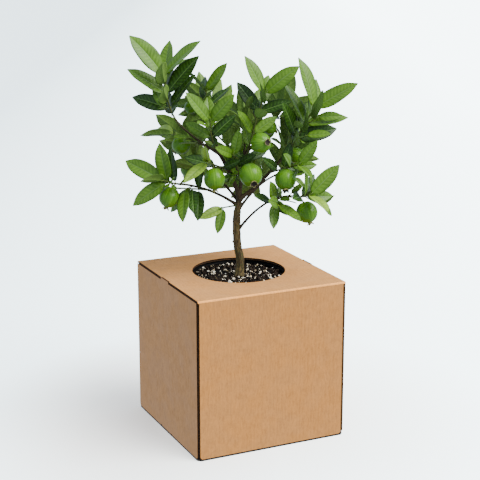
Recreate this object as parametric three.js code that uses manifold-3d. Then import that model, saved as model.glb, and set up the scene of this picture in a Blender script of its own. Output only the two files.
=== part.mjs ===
import * as THREE from 'three';
import { mergeVertices } from 'three/addons/utils/BufferGeometryUtils.js';
import Module from 'manifold-3d';

// A young cas guava tree in a black nursery pot that stands inside a cardboard cube box.
// Millimetres, +Z up, the origin at the centre of the box's underside, the front face towards -Y.

const wasm = await Module();
wasm.setup();

const UP = new THREE.Vector3(0, 0, 1);
const AWAY = new THREE.Vector3(0, 1, 0);
const SIDEWAYS = new THREE.Vector3(1, 0, 0);
const NEARLY_AWAY = 0.04;
const TINY = 1e-9;
const CURVE_END = 0.001;

// Box of single-wall corrugated board
const BOX_SIDE = 246;
const BOX_HEIGHT = 248;
const BOARD = 3;
const GAP = 0.3;
const LID_OVERHANG = 1.5;
const FRONT_INSETS = [3.5, 5.5];
const HOLE_RADIUS = 72.5;
const HOLE_CENTRE = new THREE.Vector2(3, 6);
const TOP_TAB_WIDTH = 30;
const BOTTOM_TAB_WIDTH = 40;
const TAB_PLACE = 3;

// Nursery pot and its potting mix
const POT_HEIGHT = BOX_HEIGHT - 2 * BOARD - 2 * GAP;
const POT_WALL = 1.6;
const POT_BASE_RADIUS = 60;
const POT_TOP_RADIUS = 76.2;
const POT_RIM_RADIUS = 79.2;
const POT_RIM_DEPTH = 9;
const POT_HEEL = 1;
const POT_SEGMENTS = 32;
const SOIL_DROP = 10;
const SOIL_CROWN = 1.5;
const SOIL_LEVEL_RADIUS = 58;
const HOLE_SEGMENTS = 18;

// Trunk: its foot on the mix, the turn of the crown on the box, its bends, widths and flare
const TRUNK_PLACE = new THREE.Vector2(2, 2);
const CROWN_TURN = THREE.MathUtils.degToRad(-25);
const TRUNK_BENDS = [[0, 0], [0.5, 20], [-2.6, 48], [-3.9, 95], [-0.4, 121], [0, 131]];
const TRUNK_RADIUS = [7.6, 6.1, 6.3, 5.8, 4.4, 3.9];
const FLARE = 1.6;
const FLARE_HEIGHT = 9;

// Each limb: what it grows from and how far along, its tip (across, away, height above the mix),
// how far its middle rises over the straight line, and its radius at the foot and the tip
const LIMBS = [
  { name: 'leader_left', from: 'trunk', at: 0.97, tip: [-33, -20, 202], rise: 5, radii: [3.3, 2.3] },
  { name: 'leader_right', from: 'trunk', at: 0.84, tip: [67, 0, 190], rise: -5, radii: [3.2, 2.1] },
  { name: 'leader_mid', from: 'trunk', at: 0.985, tip: [6, -8, 186], rise: 0, radii: [2.2, 1.7] },
  { name: 'leader_back', from: 'trunk', at: 0.93, tip: [8, 50, 190], rise: -6, radii: [2.8, 2] },
  { name: 'bough_left', from: 'trunk', at: 0.73, tip: [-88, -32, 154], rise: 7, radii: [2.3, 1.6] },
  { name: 'bough_right', from: 'trunk', at: 0.5, tip: [87, -32, 135], rise: 18, radii: [1.9, 1.3] },
  { name: 'bough_back_left', from: 'trunk', at: 0.78, tip: [-56, 60, 160], rise: 6, radii: [2.2, 1.5] },
  { name: 'bough_back_right', from: 'trunk', at: 0.66, tip: [56, 62, 148], rise: 8, radii: [2.1, 1.5] },
  { name: 'branch_top_left', from: 'leader_left', at: 0.95, tip: [-87, -14, 239], rise: -3, radii: [2, 1.5] },
  { name: 'branch_upper_left', from: 'leader_left', at: 0.8, tip: [-49, 15, 253], rise: -3, radii: [1.7, 1.3] },
  { name: 'branch_mid_right', from: 'leader_mid', at: 0.95, tip: [22, 0, 232], rise: -2, radii: [1.6, 1.3] },
  { name: 'branch_back_left', from: 'leader_back', at: 0.85, tip: [-26, 56, 236], rise: -3, radii: [1.8, 1.4] },
  { name: 'branch_back_right', from: 'leader_back', at: 0.95, tip: [50, 46, 232], rise: -4, radii: [1.8, 1.4] },
];
const LIMB_SIDES = 6;
const LIMB_STEPS = 5;
const TRUNK_SIDES = 9;
const TRUNK_STEPS = 10;

// Each mass of leaves: the limb and how far along it the stem starts, the stem's tip, the number of
// leaf pairs, the first pair's turn in degrees and the leaf's length
const MASSES = [
  { name: 'top_left', limb: 'branch_top_left', at: 1, tip: [-111, -25, 316], pairs: 6, roll: 90, leaf: 80 },
  { name: 'upper_left', limb: 'branch_upper_left', at: 1, tip: [-50, 12, 287], pairs: 3, roll: 15, leaf: 58 },
  { name: 'centre_front', limb: 'leader_left', at: 1, tip: [-43, -42, 250], pairs: 4, roll: 90, leaf: 56 },
  { name: 'upper_right', limb: 'branch_mid_right', at: 1, tip: [38, -5, 286], pairs: 4, roll: 85, leaf: 64 },
  { name: 'centre', limb: 'leader_mid', at: 0.6, tip: [26, -36, 254], pairs: 4, roll: 20, leaf: 52 },
  { name: 'right_top', limb: 'leader_right', at: 1, tip: [112, -5, 264], pairs: 6, roll: 90, leaf: 76 },
  { name: 'left_mid', limb: 'branch_top_left', at: 0.3, tip: [-100, 4, 224], pairs: 3, roll: 90, leaf: 54 },
  { name: 'left_low', limb: 'bough_left', at: 1, tip: [-114, -44, 162], pairs: 4, roll: 0, leaf: 70 },
  { name: 'left_inner', limb: 'bough_left', at: 0.55, tip: [-92, -50, 152], pairs: 4, roll: 40, leaf: 60 },
  { name: 'trunk_side', limb: 'trunk', at: 0.74, tip: [-24, -24, 116], pairs: 1, roll: 20, leaf: 42 },
  { name: 'right_low', limb: 'bough_right', at: 1, tip: [106, -42, 139], pairs: 3, roll: 120, leaf: 60 },
  { name: 'right_under', limb: 'bough_right', at: 0.55, tip: [58, -52, 128], pairs: 3, roll: 45, leaf: 48 },
  { name: 'right_mid', limb: 'leader_right', at: 0.7, tip: [88, -44, 186], pairs: 4, roll: 45, leaf: 48 },
  { name: 'front_left', limb: 'leader_left', at: 0.5, tip: [-46, -54, 192], pairs: 3, roll: 0, leaf: 52 },
  { name: 'middle_front', limb: 'leader_mid', at: 0.4, tip: [-8, -34, 198], pairs: 3, roll: 40, leaf: 46 },
  { name: 'middle_back', limb: 'leader_back', at: 0.4, tip: [-16, 40, 196], pairs: 4, roll: 20, leaf: 52 },
  { name: 'back_left', limb: 'bough_back_left', at: 1, tip: [-82, 84, 200], pairs: 5, roll: 30, leaf: 68 },
  { name: 'back_right', limb: 'bough_back_right', at: 1, tip: [80, 88, 190], pairs: 5, roll: 60, leaf: 66 },
  { name: 'back_top_left', limb: 'branch_back_left', at: 1, tip: [-48, 74, 256], pairs: 5, roll: 10, leaf: 64 },
  { name: 'back_top_right', limb: 'branch_back_right', at: 1, tip: [70, 62, 256], pairs: 5, roll: 50, leaf: 64 },
  { name: 'back_centre', limb: 'leader_back', at: 1, tip: [8, 106, 236], pairs: 5, roll: 0, leaf: 68 },
  { name: 'back_low', limb: 'bough_back_right', at: 0.5, tip: [8, 92, 146], pairs: 4, roll: 20, leaf: 60 },
  { name: 'side_left', limb: 'bough_back_left', at: 0.6, tip: [-76, 50, 170], pairs: 4, roll: 80, leaf: 56 },
  { name: 'side_right', limb: 'leader_right', at: 0.9, tip: [92, 50, 204], pairs: 4, roll: 10, leaf: 60 },
];

// How far a mass's leaves lift, or hang where it is below zero
const LIFT = 0.15;
const LIFTS = {
  left_mid: -0.1,
  front_left: -0.3,
  left_low: 0.1,
  left_inner: -0.6,
  trunk_side: -0.8,
  right_low: 0.1,
  right_under: -0.1,
  back_low: -0.1,
  side_left: 0.1,
};

const SEED = 4021;
const SEED_STEP = 97;
const SPACE_SLACK = 8;
const STEM_RADII = [1.5, 1.1];
const STEM_SIDES = 3;
const STEM_STEPS = 5;
const STEM_BEND = 0.36;
const FIRST_PAIR = 0.34;
const OPENING = [64, 38];
const TURN_SPREAD = 14;
const TWIST_SPREAD = 44;
const MOST_TWIST = 46;
const NO_TWIST = 125;
const LIGHT_HEIGHT = 0.5;
const SIDE_LIGHT = 0.3;
const MIDDLE_DEPTH = 22;
const TRIES = [[0, 0], [22, 0], [-22, 0], [0, -12], [40, 8], [-40, 8], [0, 22]];

// Leaf: stations along it, half its width there over its length, its thickness, fold and bend
const STATIONS = [0, 0.36, 0.7, 1];
const HALF_WIDTHS = [0.006, 0.2, 0.16, 0];
const HALF_THICKNESS = 0.55;
const FOLD = THREE.MathUtils.degToRad(17);
const BEND = [6, 26];
const SIZES = [0.92, 1.08];
const LOW_SIZE = 0.78;
const CLEARANCE = 1.1;
const ROOT_REACH = 9;
const LEAF_REACH = 0.65;
const BALL_REACH = 0.75;
const BALL_SPACING = 3;

// Each fruit: its mass, how far along the stem its stalk starts, its centre and its radius
const FRUIT = [
  { mass: 'centre', at: 0.55, centre: [32, -55, 221], radius: 15.2 },
  { mass: 'centre', at: 0.1, centre: [17, -50, 172], radius: 17.4 },
  { mass: 'front_left', at: 0.8, centre: [-37, -50, 166], radius: 15.8 },
  { mass: 'right_mid', at: 0.6, centre: [69, -45, 164], radius: 16 },
  { mass: 'right_low', at: 0.2, centre: [102, -40, 113], radius: 16 },
  { mass: 'left_low', at: 0.3, centre: [-105, -40, 136], radius: 15.6 },
  { mass: 'left_mid', at: 0.45, centre: [-88, 0, 208], radius: 13.8 },
  { mass: 'side_right', at: 0.25, centre: [86, 6, 191], radius: 12.4 },
  { mass: 'upper_right', at: 0.1, centre: [46, -4, 236], radius: 11 },
  { mass: 'upper_left', at: 0.35, centre: [-74, 26, 262], radius: 9.5 },
  { mass: 'back_left', at: 0.4, centre: [-78, 80, 156], radius: 15.4 },
  { mass: 'back_centre', at: 0.5, centre: [2, 88, 186], radius: 16 },
  { mass: 'back_right', at: 0.3, centre: [76, 80, 140], radius: 15 },
  { mass: 'back_top_right', at: 0.2, centre: [44, 82, 216], radius: 12.5 },
];
const FRUIT_SIDES = 8;
const FRUIT_RINGS = 5;
const CALYX_SIDES = 5;
const STALK_RADIUS = 1.1;
const STALK_SIDES = 3;
const CALYX_RADIUS = 0.36;
const CALYX_LENGTH = 0.3;
const CALYX_WAIST = 0.8;
const FRUIT_HANG = 0.6;
const FRUIT_STRETCH = 1.04;
const STALK_END = 0.8;
const STALK_RISE = 1;
const STALK_STEPS = 2;
const OUTER_DEPTH = 50;
const OUTLOOK_RISE = 0.26;
const OUTLOOK_LENGTH = 55;
const OUTLOOK_RADIUS = 0.7;

// A small repeatable source of chance, from 0 to 1
function chance(seed) {
  let state = seed >>> 0;
  return () => {
    state = (state + 0x6d2b79f5) >>> 0;
    let t = state;
    t = Math.imul(t ^ (t >>> 15), t | 1);
    t ^= t + Math.imul(t ^ (t >>> 7), t | 61);
    return ((t ^ (t >>> 14)) >>> 0) / 4294967296;
  };
}

const vec = (list) => new THREE.Vector3(...list);
const lerp = THREE.MathUtils.lerp;
const radians = THREE.MathUtils.degToRad;

// Solids: a closed three.js geometry with its shared corners merged, as a manifold and back
function bare(geometry) {
  geometry.deleteAttribute('normal');
  geometry.deleteAttribute('uv');
  return mergeVertices(geometry);
}

function solid(geometry) {
  const merged = bare(geometry);
  return new wasm.Manifold(new wasm.Mesh({
    numProp: 3,
    vertProperties: Float32Array.from(merged.attributes.position.array),
    triVerts: Uint32Array.from(merged.index.array),
  }));
}

function geometryOf(manifold) {
  const mesh = manifold.getMesh();
  const geometry = new THREE.BufferGeometry();
  geometry.setAttribute('position', new THREE.BufferAttribute(mesh.vertProperties, 3));
  geometry.setIndex(new THREE.BufferAttribute(mesh.triVerts, 1));
  return geometry;
}

function largest(manifold) {
  const scraps = manifold.decompose();
  return scraps.reduce((best, piece) => (piece.volume() > best.volume() ? piece : best));
}

// Two directions square to a limb's own, the first as level across the view as it can be
function squareTo(direction) {
  const across = new THREE.Vector3().crossVectors(AWAY, direction);
  if (across.lengthSq() < NEARLY_AWAY) across.crossVectors(UP, direction);
  across.normalize();
  return [across, new THREE.Vector3().crossVectors(direction, across)];
}

// A round limb along a curve, from a cylinder whose rings are set square to the curve
function limbGeometry(curve, radiusAt, sides, steps, extra = 0) {
  const geometry = bare(new THREE.CylinderGeometry(1, 1, 1, sides, steps));
  const place = geometry.attributes.position;
  for (let i = 0; i < place.count; i += 1) {
    const t = place.getY(i) + 0.5;
    const direction = curve.getTangent(t).normalize();
    const [across, over] = squareTo(direction);
    const radius = radiusAt(t) + extra;
    const point = curve.getPoint(t);
    if (t < CURVE_END) point.addScaledVector(direction, -extra);
    if (t > 1 - CURVE_END) point.addScaledVector(direction, extra);
    point.addScaledVector(across, -place.getX(i) * radius);
    point.addScaledVector(over, place.getZ(i) * radius);
    place.setXYZ(i, point.x, point.y, point.z);
  }
  return geometry;
}

function arch(start, end, rise) {
  const middle = start.clone().lerp(end, 0.5).addScaledVector(UP, 2 * rise);
  return new THREE.QuadraticBezierCurve3(start, middle, end);
}

// Trunk and limbs as curves with their radii
function makeLimbs() {
  const bends = TRUNK_BENDS.map(([x, z]) => new THREE.Vector3(x, 0, z + GAP));
  const trunkCurve = new THREE.CatmullRomCurve3(bends);
  const trunkRadius = (t) => {
    const place = t * (TRUNK_RADIUS.length - 1);
    const low = Math.min(Math.floor(place), TRUNK_RADIUS.length - 2);
    const flare = FLARE * Math.max(0, 1 - trunkCurve.getPoint(t).z / FLARE_HEIGHT);
    return lerp(TRUNK_RADIUS[low], TRUNK_RADIUS[low + 1], place - low) + flare;
  };
  const limbs = {};
  const keep = (name, curve, radiusAt, sides, steps) => {
    limbs[name] = { name, curve, radiusAt, sides, steps };
  };
  keep('trunk', trunkCurve, trunkRadius, TRUNK_SIDES, TRUNK_STEPS);
  LIMBS.forEach((plan) => {
    const start = limbs[plan.from].curve.getPoint(plan.at);
    const radiusAt = (t) => lerp(plan.radii[0], plan.radii[1], t);
    keep(plan.name, arch(start, vec(plan.tip), plan.rise), radiusAt, LIMB_SIDES, LIMB_STEPS);
  });
  return limbs;
}

// Space that is taken: balls set close along a limb, a stem or a stalk
function ballsAlong(curve, radiusAt, owner) {
  const count = Math.ceil(curve.getLength() / BALL_SPACING);
  const balls = [];
  for (let i = 0; i <= count; i += 1) {
    balls.push({ centre: curve.getPoint(i / count), radius: radiusAt(i / count), owner });
  }
  return balls;
}

// The upper side of a leaf faces its twig, and its stalk twists it towards the light outside
function turnToLight(direction, axis, root, twist) {
  const natural = axis.clone().addScaledVector(direction, -axis.dot(direction)).normalize();
  const light = new THREE.Vector3(root.x * SIDE_LIGHT, root.y - MIDDLE_DEPTH, 0).normalize();
  light.addScaledVector(UP, LIGHT_HEIGHT);
  light.addScaledVector(direction, -light.dot(direction)).normalize();
  const turned = new THREE.Vector3().crossVectors(natural, light).dot(direction);
  const degrees = THREE.MathUtils.radToDeg(Math.atan2(turned, natural.dot(light)));
  const turn = Math.abs(degrees) > NO_TWIST ? 0 : THREE.MathUtils.clamp(degrees, -MOST_TWIST, MOST_TWIST);
  return natural.applyAxisAngle(direction, radians(turn + twist));
}

// A leaf: it leaves its root along one direction and bends back, its upper side along the other
function makeLeaf(root, direction, upper, length, bend) {
  const along = direction.clone().normalize();
  const normal = upper.clone().addScaledVector(along, -upper.dot(along)).normalize();
  const side = new THREE.Vector3().crossVectors(along, normal);
  const leaf = { root, along, normal, side, length, bend };
  leaf.rings = STATIONS.map((t, i) => ring(leaf, t, HALF_WIDTHS[i] * length));
  leaf.middle = leaf.rings[1][1];
  return leaf;
}

// Left margin, midrib and right margin of a leaf at one station
function ring(leaf, t, halfWidth) {
  const turn = leaf.bend * t;
  const point = leaf.root.clone();
  point.addScaledVector(leaf.along, (leaf.length * Math.sin(turn)) / leaf.bend);
  point.addScaledVector(leaf.normal, (-leaf.length * (1 - Math.cos(turn))) / leaf.bend);
  const rise = leaf.along.clone().multiplyScalar(Math.sin(turn));
  rise.addScaledVector(leaf.normal, Math.cos(turn));
  const margin = (sign) => point.clone()
    .addScaledVector(leaf.side, sign * halfWidth * Math.cos(FOLD))
    .addScaledVector(rise, halfWidth * Math.sin(FOLD));
  return [margin(-1), point, margin(1), rise];
}

function leafTriangles(leaf) {
  const [root, wide, upper, tip] = leaf.rings;
  return [
    [root[1], wide[0], wide[1]], [root[1], wide[1], wide[2]],
    [wide[0], upper[0], upper[1]], [wide[0], upper[1], wide[1]],
    [wide[1], upper[1], upper[2]], [wide[1], upper[2], wide[2]],
    [upper[0], tip[1], upper[1]], [upper[1], tip[1], upper[2]],
  ];
}

function leafEdges(leaf) {
  const [root, wide, upper, tip] = leaf.rings;
  const edges = [];
  for (let i = 0; i < 3; i += 1) {
    edges.push([root[1], wide[i]], [wide[i], upper[i]], [upper[i], tip[1]]);
  }
  edges.push([wide[0], wide[1]], [wide[1], wide[2]], [upper[0], upper[1]], [upper[1], upper[2]]);
  return edges;
}

// Whether a stretch from p to q passes through a triangle
function crosses(p, q, [a, b, c]) {
  const d = q.clone().sub(p);
  const u = b.clone().sub(a);
  const v = c.clone().sub(a);
  const h = new THREE.Vector3().crossVectors(d, v);
  const det = u.dot(h);
  if (Math.abs(det) < TINY) return false;
  const s = p.clone().sub(a);
  const first = s.dot(h) / det;
  if (first < 0 || first > 1) return false;
  const k = new THREE.Vector3().crossVectors(s, u);
  const second = d.dot(k) / det;
  if (second < 0 || first + second > 1) return false;
  const reach = v.dot(k) / det;
  return reach >= 0 && reach <= 1;
}

function passesThrough(one, other) {
  const triangles = leafTriangles(other);
  return leafEdges(one).some(([p, q]) => [-1, 1].some((sign) => {
    const shift = one.normal.clone().multiplyScalar(sign * CLEARANCE);
    const from = p.clone().add(shift);
    const to = q.clone().add(shift);
    return triangles.some((triangle) => crosses(from, to, triangle));
  }));
}

// Leaves of one pair part at their root, so only leaves of different pairs are tested
function leavesTouch(one, other) {
  if (one.root.distanceTo(other.root) < BALL_SPACING) return false;
  const near = (one.length + other.length) * LEAF_REACH;
  if (one.middle.distanceTo(other.middle) > near) return false;
  return passesThrough(one, other) || passesThrough(other, one);
}

const triangle = new THREE.Triangle();
const nearest = new THREE.Vector3();

function ballTouchesLeaf(ball, leaf) {
  if (ball.centre.distanceTo(leaf.middle) > leaf.length * BALL_REACH + ball.radius) return false;
  const limit = ball.radius + CLEARANCE;
  return leafTriangles(leaf).some(([a, b, c]) => {
    triangle.set(a, b, c);
    triangle.closestPointToPoint(ball.centre, nearest);
    return nearest.distanceTo(ball.centre) < limit;
  });
}

// The stem of a mass: it goes on from its limb's tip, or leaves the limb's side towards its own tip
function growStem(plan, order, limbs) {
  const limb = limbs[plan.limb];
  const heading = limb.curve.getTangent(plan.at).normalize();
  const foot = limb.curve.getPoint(plan.at);
  if (plan.at === 1) foot.addScaledVector(heading, GAP);
  const tip = vec(plan.tip);
  const elbow = plan.at === 1 ? heading : tip.clone().sub(foot).normalize();
  const middle = foot.clone().addScaledVector(elbow, foot.distanceTo(tip) * STEM_BEND);
  const curve = new THREE.QuadraticBezierCurve3(foot, middle, tip);
  const footRadius = Math.min(STEM_RADII[0], limb.radiusAt(plan.at));
  const radiusAt = (t) => lerp(footRadius, STEM_RADII[1], t);
  const stem = ballsAlong(curve, radiusAt, plan.name);
  return { plan, curve, radiusAt, stem, rand: chance(SEED + SEED_STEP * order), fruit: [], leaves: [] };
}

// A fruit on its stalk, with the space that it takes: one that hangs outside keeps a free outlook
function growFruit(plan, mass, balls) {
  const start = mass.curve.getPoint(plan.at);
  const centre = vec(plan.centre);
  const axis = centre.clone().sub(start).normalize().addScaledVector(UP, -FRUIT_HANG).normalize();
  const top = centre.clone().addScaledVector(axis, -plan.radius * STALK_END);
  const stalk = arch(start, top, STALK_RISE);
  mass.fruit.push({ centre, axis, radius: plan.radius, stalk });
  const calyx = centre.clone().addScaledVector(axis, plan.radius);
  balls.push({ centre, radius: plan.radius, owner: plan.mass });
  balls.push({ centre: calyx, radius: plan.radius * CALYX_RADIUS, owner: plan.mass });
  balls.push(...ballsAlong(stalk, () => STALK_RADIUS, plan.mass));
  const depth = centre.y - MIDDLE_DEPTH;
  if (Math.abs(depth) > OUTER_DEPTH) {
    const outlook = new THREE.Vector3(0, Math.sign(depth), OUTLOOK_RISE).setLength(OUTLOOK_LENGTH);
    const sight = new THREE.LineCurve3(centre, centre.clone().add(outlook));
    balls.push(...ballsAlong(sight, () => plan.radius * OUTLOOK_RADIUS, 'outlook'));
  }
}

// Grows every mass: first all the stems, then the fruit, and at last the leaves
function growCrown(limbs) {
  const balls = [];
  const leaves = [];
  Object.values(limbs).forEach((limb) => balls.push(...ballsAlong(limb.curve, limb.radiusAt, limb.name)));
  const masses = MASSES.map((plan, order) => growStem(plan, order, limbs));
  masses.forEach((mass) => balls.push(...mass.stem));
  FRUIT.forEach((plan) => growFruit(plan, masses.find((mass) => mass.plan.name === plan.mass), balls));
  masses.forEach((mass) => {
    const { pairs, roll } = mass.plan;
    for (let i = pairs - 1; i >= 0; i -= 1) {
      const turn = roll + 90 * i + (mass.rand() - 0.5) * TURN_SPREAD;
      const share = pairs > 1 ? i / (pairs - 1) : 1;
      [0, 180].forEach((half) => growLeaf(mass, share, turn + half, masses, leaves, balls));
    }
  });
  return masses;
}

// A mass keeps to its own space: the middle of each leaf is nearest to the mass's own stem
function keepsToItsSpace(leaf, mass, masses) {
  const reach = (other) => Math.min(...other.stem.map((ball) => ball.centre.distanceTo(leaf.middle)));
  const own = reach(mass) - SPACE_SLACK;
  return masses.every((other) => other === mass || reach(other) > own);
}

// One leaf of a pair: it is tried at a few turns, and left out where it finds no room
function growLeaf(mass, share, roll, masses, leaves, balls) {
  const { plan, curve, rand } = mass;
  const t = lerp(FIRST_PAIR, 1, share);
  const axis = curve.getTangent(t).normalize();
  const root = curve.getPoint(t);
  const [across, over] = squareTo(axis);
  const opening = lerp(OPENING[0], OPENING[1], share) + (rand() - 0.5) * TURN_SPREAD;
  const size = plan.leaf * lerp(LOW_SIZE, 1, share) * lerp(SIZES[0], SIZES[1], rand());
  const bend = radians(lerp(BEND[0], BEND[1], rand()));
  const twist = (rand() - 0.5) * TWIST_SPREAD;
  for (const [swing, wider] of TRIES) {
    const angle = radians(roll + swing);
    const outward = across.clone().multiplyScalar(Math.cos(angle));
    outward.addScaledVector(over, Math.sin(angle));
    const lean = radians(opening + wider);
    const direction = axis.clone().multiplyScalar(Math.cos(lean));
    direction.addScaledVector(outward, Math.sin(lean));
    direction.addScaledVector(UP, LIFTS[plan.name] ?? LIFT).normalize();
    const upper = turnToLight(direction, axis, root, twist);
    const leaf = makeLeaf(root, direction, upper, size, bend);
    const ownRoot = (ball) => ball.owner === plan.name && ball.centre.distanceTo(root) < ROOT_REACH;
    const blocked = balls.some((ball) => !ownRoot(ball) && ballTouchesLeaf(ball, leaf))
      || leaves.some((other) => leavesTouch(leaf, other));
    if (!blocked && keepsToItsSpace(leaf, mass, masses)) {
      leaves.push(leaf);
      mass.leaves.push(leaf);
      return;
    }
  }
}

function leafGeometry(leaf) {
  const steps = STATIONS.length - 1;
  const geometry = bare(new THREE.ConeGeometry(1, 1, 4, steps));
  const place = geometry.attributes.position;
  for (let i = 0; i < place.count; i += 1) {
    const step = Math.round((place.getY(i) + 0.5) * steps);
    const [left, middle, right, rise] = leaf.rings[step];
    const width = 1 - step / steps;
    const sideways = width > 0 ? place.getX(i) / width : 0;
    const thick = width > 0 ? place.getZ(i) / width : 0;
    const point = middle.clone();
    if (sideways > 0.5) point.copy(right);
    if (sideways < -0.5) point.copy(left);
    point.addScaledVector(rise, thick * HALF_THICKNESS);
    place.setXYZ(i, point.x, point.y, point.z);
  }
  return geometry;
}

function fruitSolid(fruit) {
  const turn = new THREE.Quaternion().setFromUnitVectors(new THREE.Vector3(0, -1, 0), fruit.axis);
  const body = new THREE.SphereGeometry(fruit.radius, FRUIT_SIDES, FRUIT_RINGS);
  body.scale(1, FRUIT_STRETCH, 1);
  const mouth = CALYX_RADIUS * fruit.radius;
  const length = 2 * CALYX_LENGTH * fruit.radius;
  const calyx = new THREE.CylinderGeometry(mouth * CALYX_WAIST, mouth, length, CALYX_SIDES);
  calyx.translate(0, -fruit.radius, 0);
  const parts = [body, calyx].map((geometry) => {
    geometry.applyQuaternion(turn);
    geometry.translate(...fruit.centre);
    return solid(geometry);
  });
  return parts[0].add(parts[1]);
}

function massSolid(mass) {
  let whole = solid(limbGeometry(mass.curve, mass.radiusAt, STEM_SIDES, STEM_STEPS));
  mass.leaves.forEach((leaf) => {
    whole = whole.add(solid(leafGeometry(leaf)));
  });
  mass.fruit.forEach((fruit) => {
    const stalk = limbGeometry(fruit.stalk, () => STALK_RADIUS, STALK_SIDES, STALK_STEPS);
    whole = whole.add(solid(stalk)).add(fruitSolid(fruit));
  });
  return whole;
}

// Materials
const finish = (color, roughness) => () => new THREE.MeshStandardMaterial({ color, roughness, metalness: 0 });
const bark = finish('#6f6248', 0.9);
const foliage = finish('#3f7a2b', 0.5);
const kraft = finish('#b98b62', 0.9);
const blackPlastic = finish('#17181a', 0.5);
const pottingMix = finish('#2b2320', 1);

function named(name, geometry, material) {
  const mesh = new THREE.Mesh(geometry, material);
  mesh.name = name;
  return mesh;
}

function makePlant() {
  const plant = new THREE.Group();
  plant.position.set(TRUNK_PLACE.x, TRUNK_PLACE.y, BOX_HEIGHT - SOIL_DROP);
  plant.rotation.z = CROWN_TURN;
  const limbs = makeLimbs();
  const taken = [];
  Object.values(limbs).forEach((limb) => {
    let wood = solid(limbGeometry(limb.curve, limb.radiusAt, limb.sides, limb.steps));
    taken.forEach((other) => {
      wood = wood.subtract(other);
    });
    plant.add(named(limb.name, geometryOf(largest(wood)), bark()));
    taken.push(solid(limbGeometry(limb.curve, limb.radiusAt, limb.sides, limb.steps, GAP)));
  });
  growCrown(limbs).forEach((mass) => {
    let whole = massSolid(mass);
    taken.forEach((other) => {
      whole = whole.subtract(other);
    });
    plant.add(named(`leaves_${mass.plan.name}`, geometryOf(largest(whole)), foliage()));
  });
  return plant;
}

// A flat panel of board from its outline in two of the three directions
function panel(outline, holes, thickness, turn, place) {
  const shape = new THREE.Shape(outline.map(([x, y]) => new THREE.Vector2(x, y)));
  shape.holes.push(...holes);
  const options = { depth: thickness, bevelEnabled: false, curveSegments: HOLE_SEGMENTS };
  const geometry = new THREE.ExtrudeGeometry(shape, options);
  geometry.applyMatrix4(turn);
  geometry.translate(...place);
  return geometry;
}

// A rectangle whose two long ends carry a step in or out of the given depth at the tab's place
function steppedOutline(halfLength, halfWidth, tabWidth, depth) {
  const low = TAB_PLACE - tabWidth / 2;
  const high = TAB_PLACE + tabWidth / 2;
  const right = [[halfLength, -halfWidth], [halfLength, low], [halfLength + depth, low],
    [halfLength + depth, high], [halfLength, high], [halfLength, halfWidth]];
  return [...right, ...right.map(([x, y]) => [-x, y]).reverse()];
}

function makeBox() {
  const box = new THREE.Group();
  const half = BOX_SIDE / 2;
  const inner = half - BOARD - GAP;
  const wallTop = BOX_HEIGHT - BOARD - GAP;
  const lidHalf = half - LID_OVERHANG;
  const flat = new THREE.Matrix4();
  const upright = new THREE.Matrix4().makeRotationX(Math.PI / 2);
  const sideways = new THREE.Matrix4().makeBasis(AWAY, UP, SIDEWAYS);

  const hole = new THREE.Path().absarc(HOLE_CENTRE.x, HOLE_CENTRE.y, HOLE_RADIUS, 0, 2 * Math.PI, true);
  const lidOutline = steppedOutline(lidHalf, half, TOP_TAB_WIDTH + 2 * GAP, inner - lidHalf);
  const lid = panel(lidOutline, [hole], BOARD, flat, [0, 0, BOX_HEIGHT - BOARD]);
  box.add(named('box_lid', lid, kraft()));
  const floorOutline = steppedOutline(inner, inner, BOTTOM_TAB_WIDTH, BOARD);
  box.add(named('box_floor', panel(floorOutline, [], BOARD, flat, [0, 0, 0]), kraft()));

  const left = FRONT_INSETS[0] - half;
  const right = half - FRONT_INSETS[1];
  const front = [[left, 0], [right, 0], [right, wallTop], [left, wallTop]];
  const back = front.map(([x, z]) => [-x, z]).reverse();
  box.add(named('box_front', panel(front, [], BOARD, upright, [0, -half + BOARD, 0]), kraft()));
  box.add(named('box_back', panel(back, [], BOARD, upright, [0, half, 0]), kraft()));

  const slot = BOTTOM_TAB_WIDTH / 2 + GAP;
  const tab = TOP_TAB_WIDTH / 2;
  const notch = BOARD + GAP;
  const side = [[-inner, 0], [TAB_PLACE - slot, 0], [TAB_PLACE - slot, notch], [TAB_PLACE + slot, notch],
    [TAB_PLACE + slot, 0], [inner, 0], [inner, wallTop], [TAB_PLACE + tab, wallTop],
    [TAB_PLACE + tab, BOX_HEIGHT], [TAB_PLACE - tab, BOX_HEIGHT], [TAB_PLACE - tab, wallTop],
    [-inner, wallTop]];
  box.add(named('box_side_left', panel(side, [], BOARD, sideways, [-half, 0, 0]), kraft()));
  box.add(named('box_side_right', panel(side, [], BOARD, sideways, [half - BOARD, 0, 0]), kraft()));
  return box;
}

// The pot and the mix that fills it, both turned about one upright axis under the lid's hole
function turned(profile) {
  const geometry = new THREE.LatheGeometry(profile.map(([r, z]) => new THREE.Vector2(r, z)), POT_SEGMENTS);
  geometry.rotateX(Math.PI / 2);
  geometry.translate(HOLE_CENTRE.x, HOLE_CENTRE.y, BOARD + GAP);
  return geometryOf(solid(geometry));
}

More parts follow.
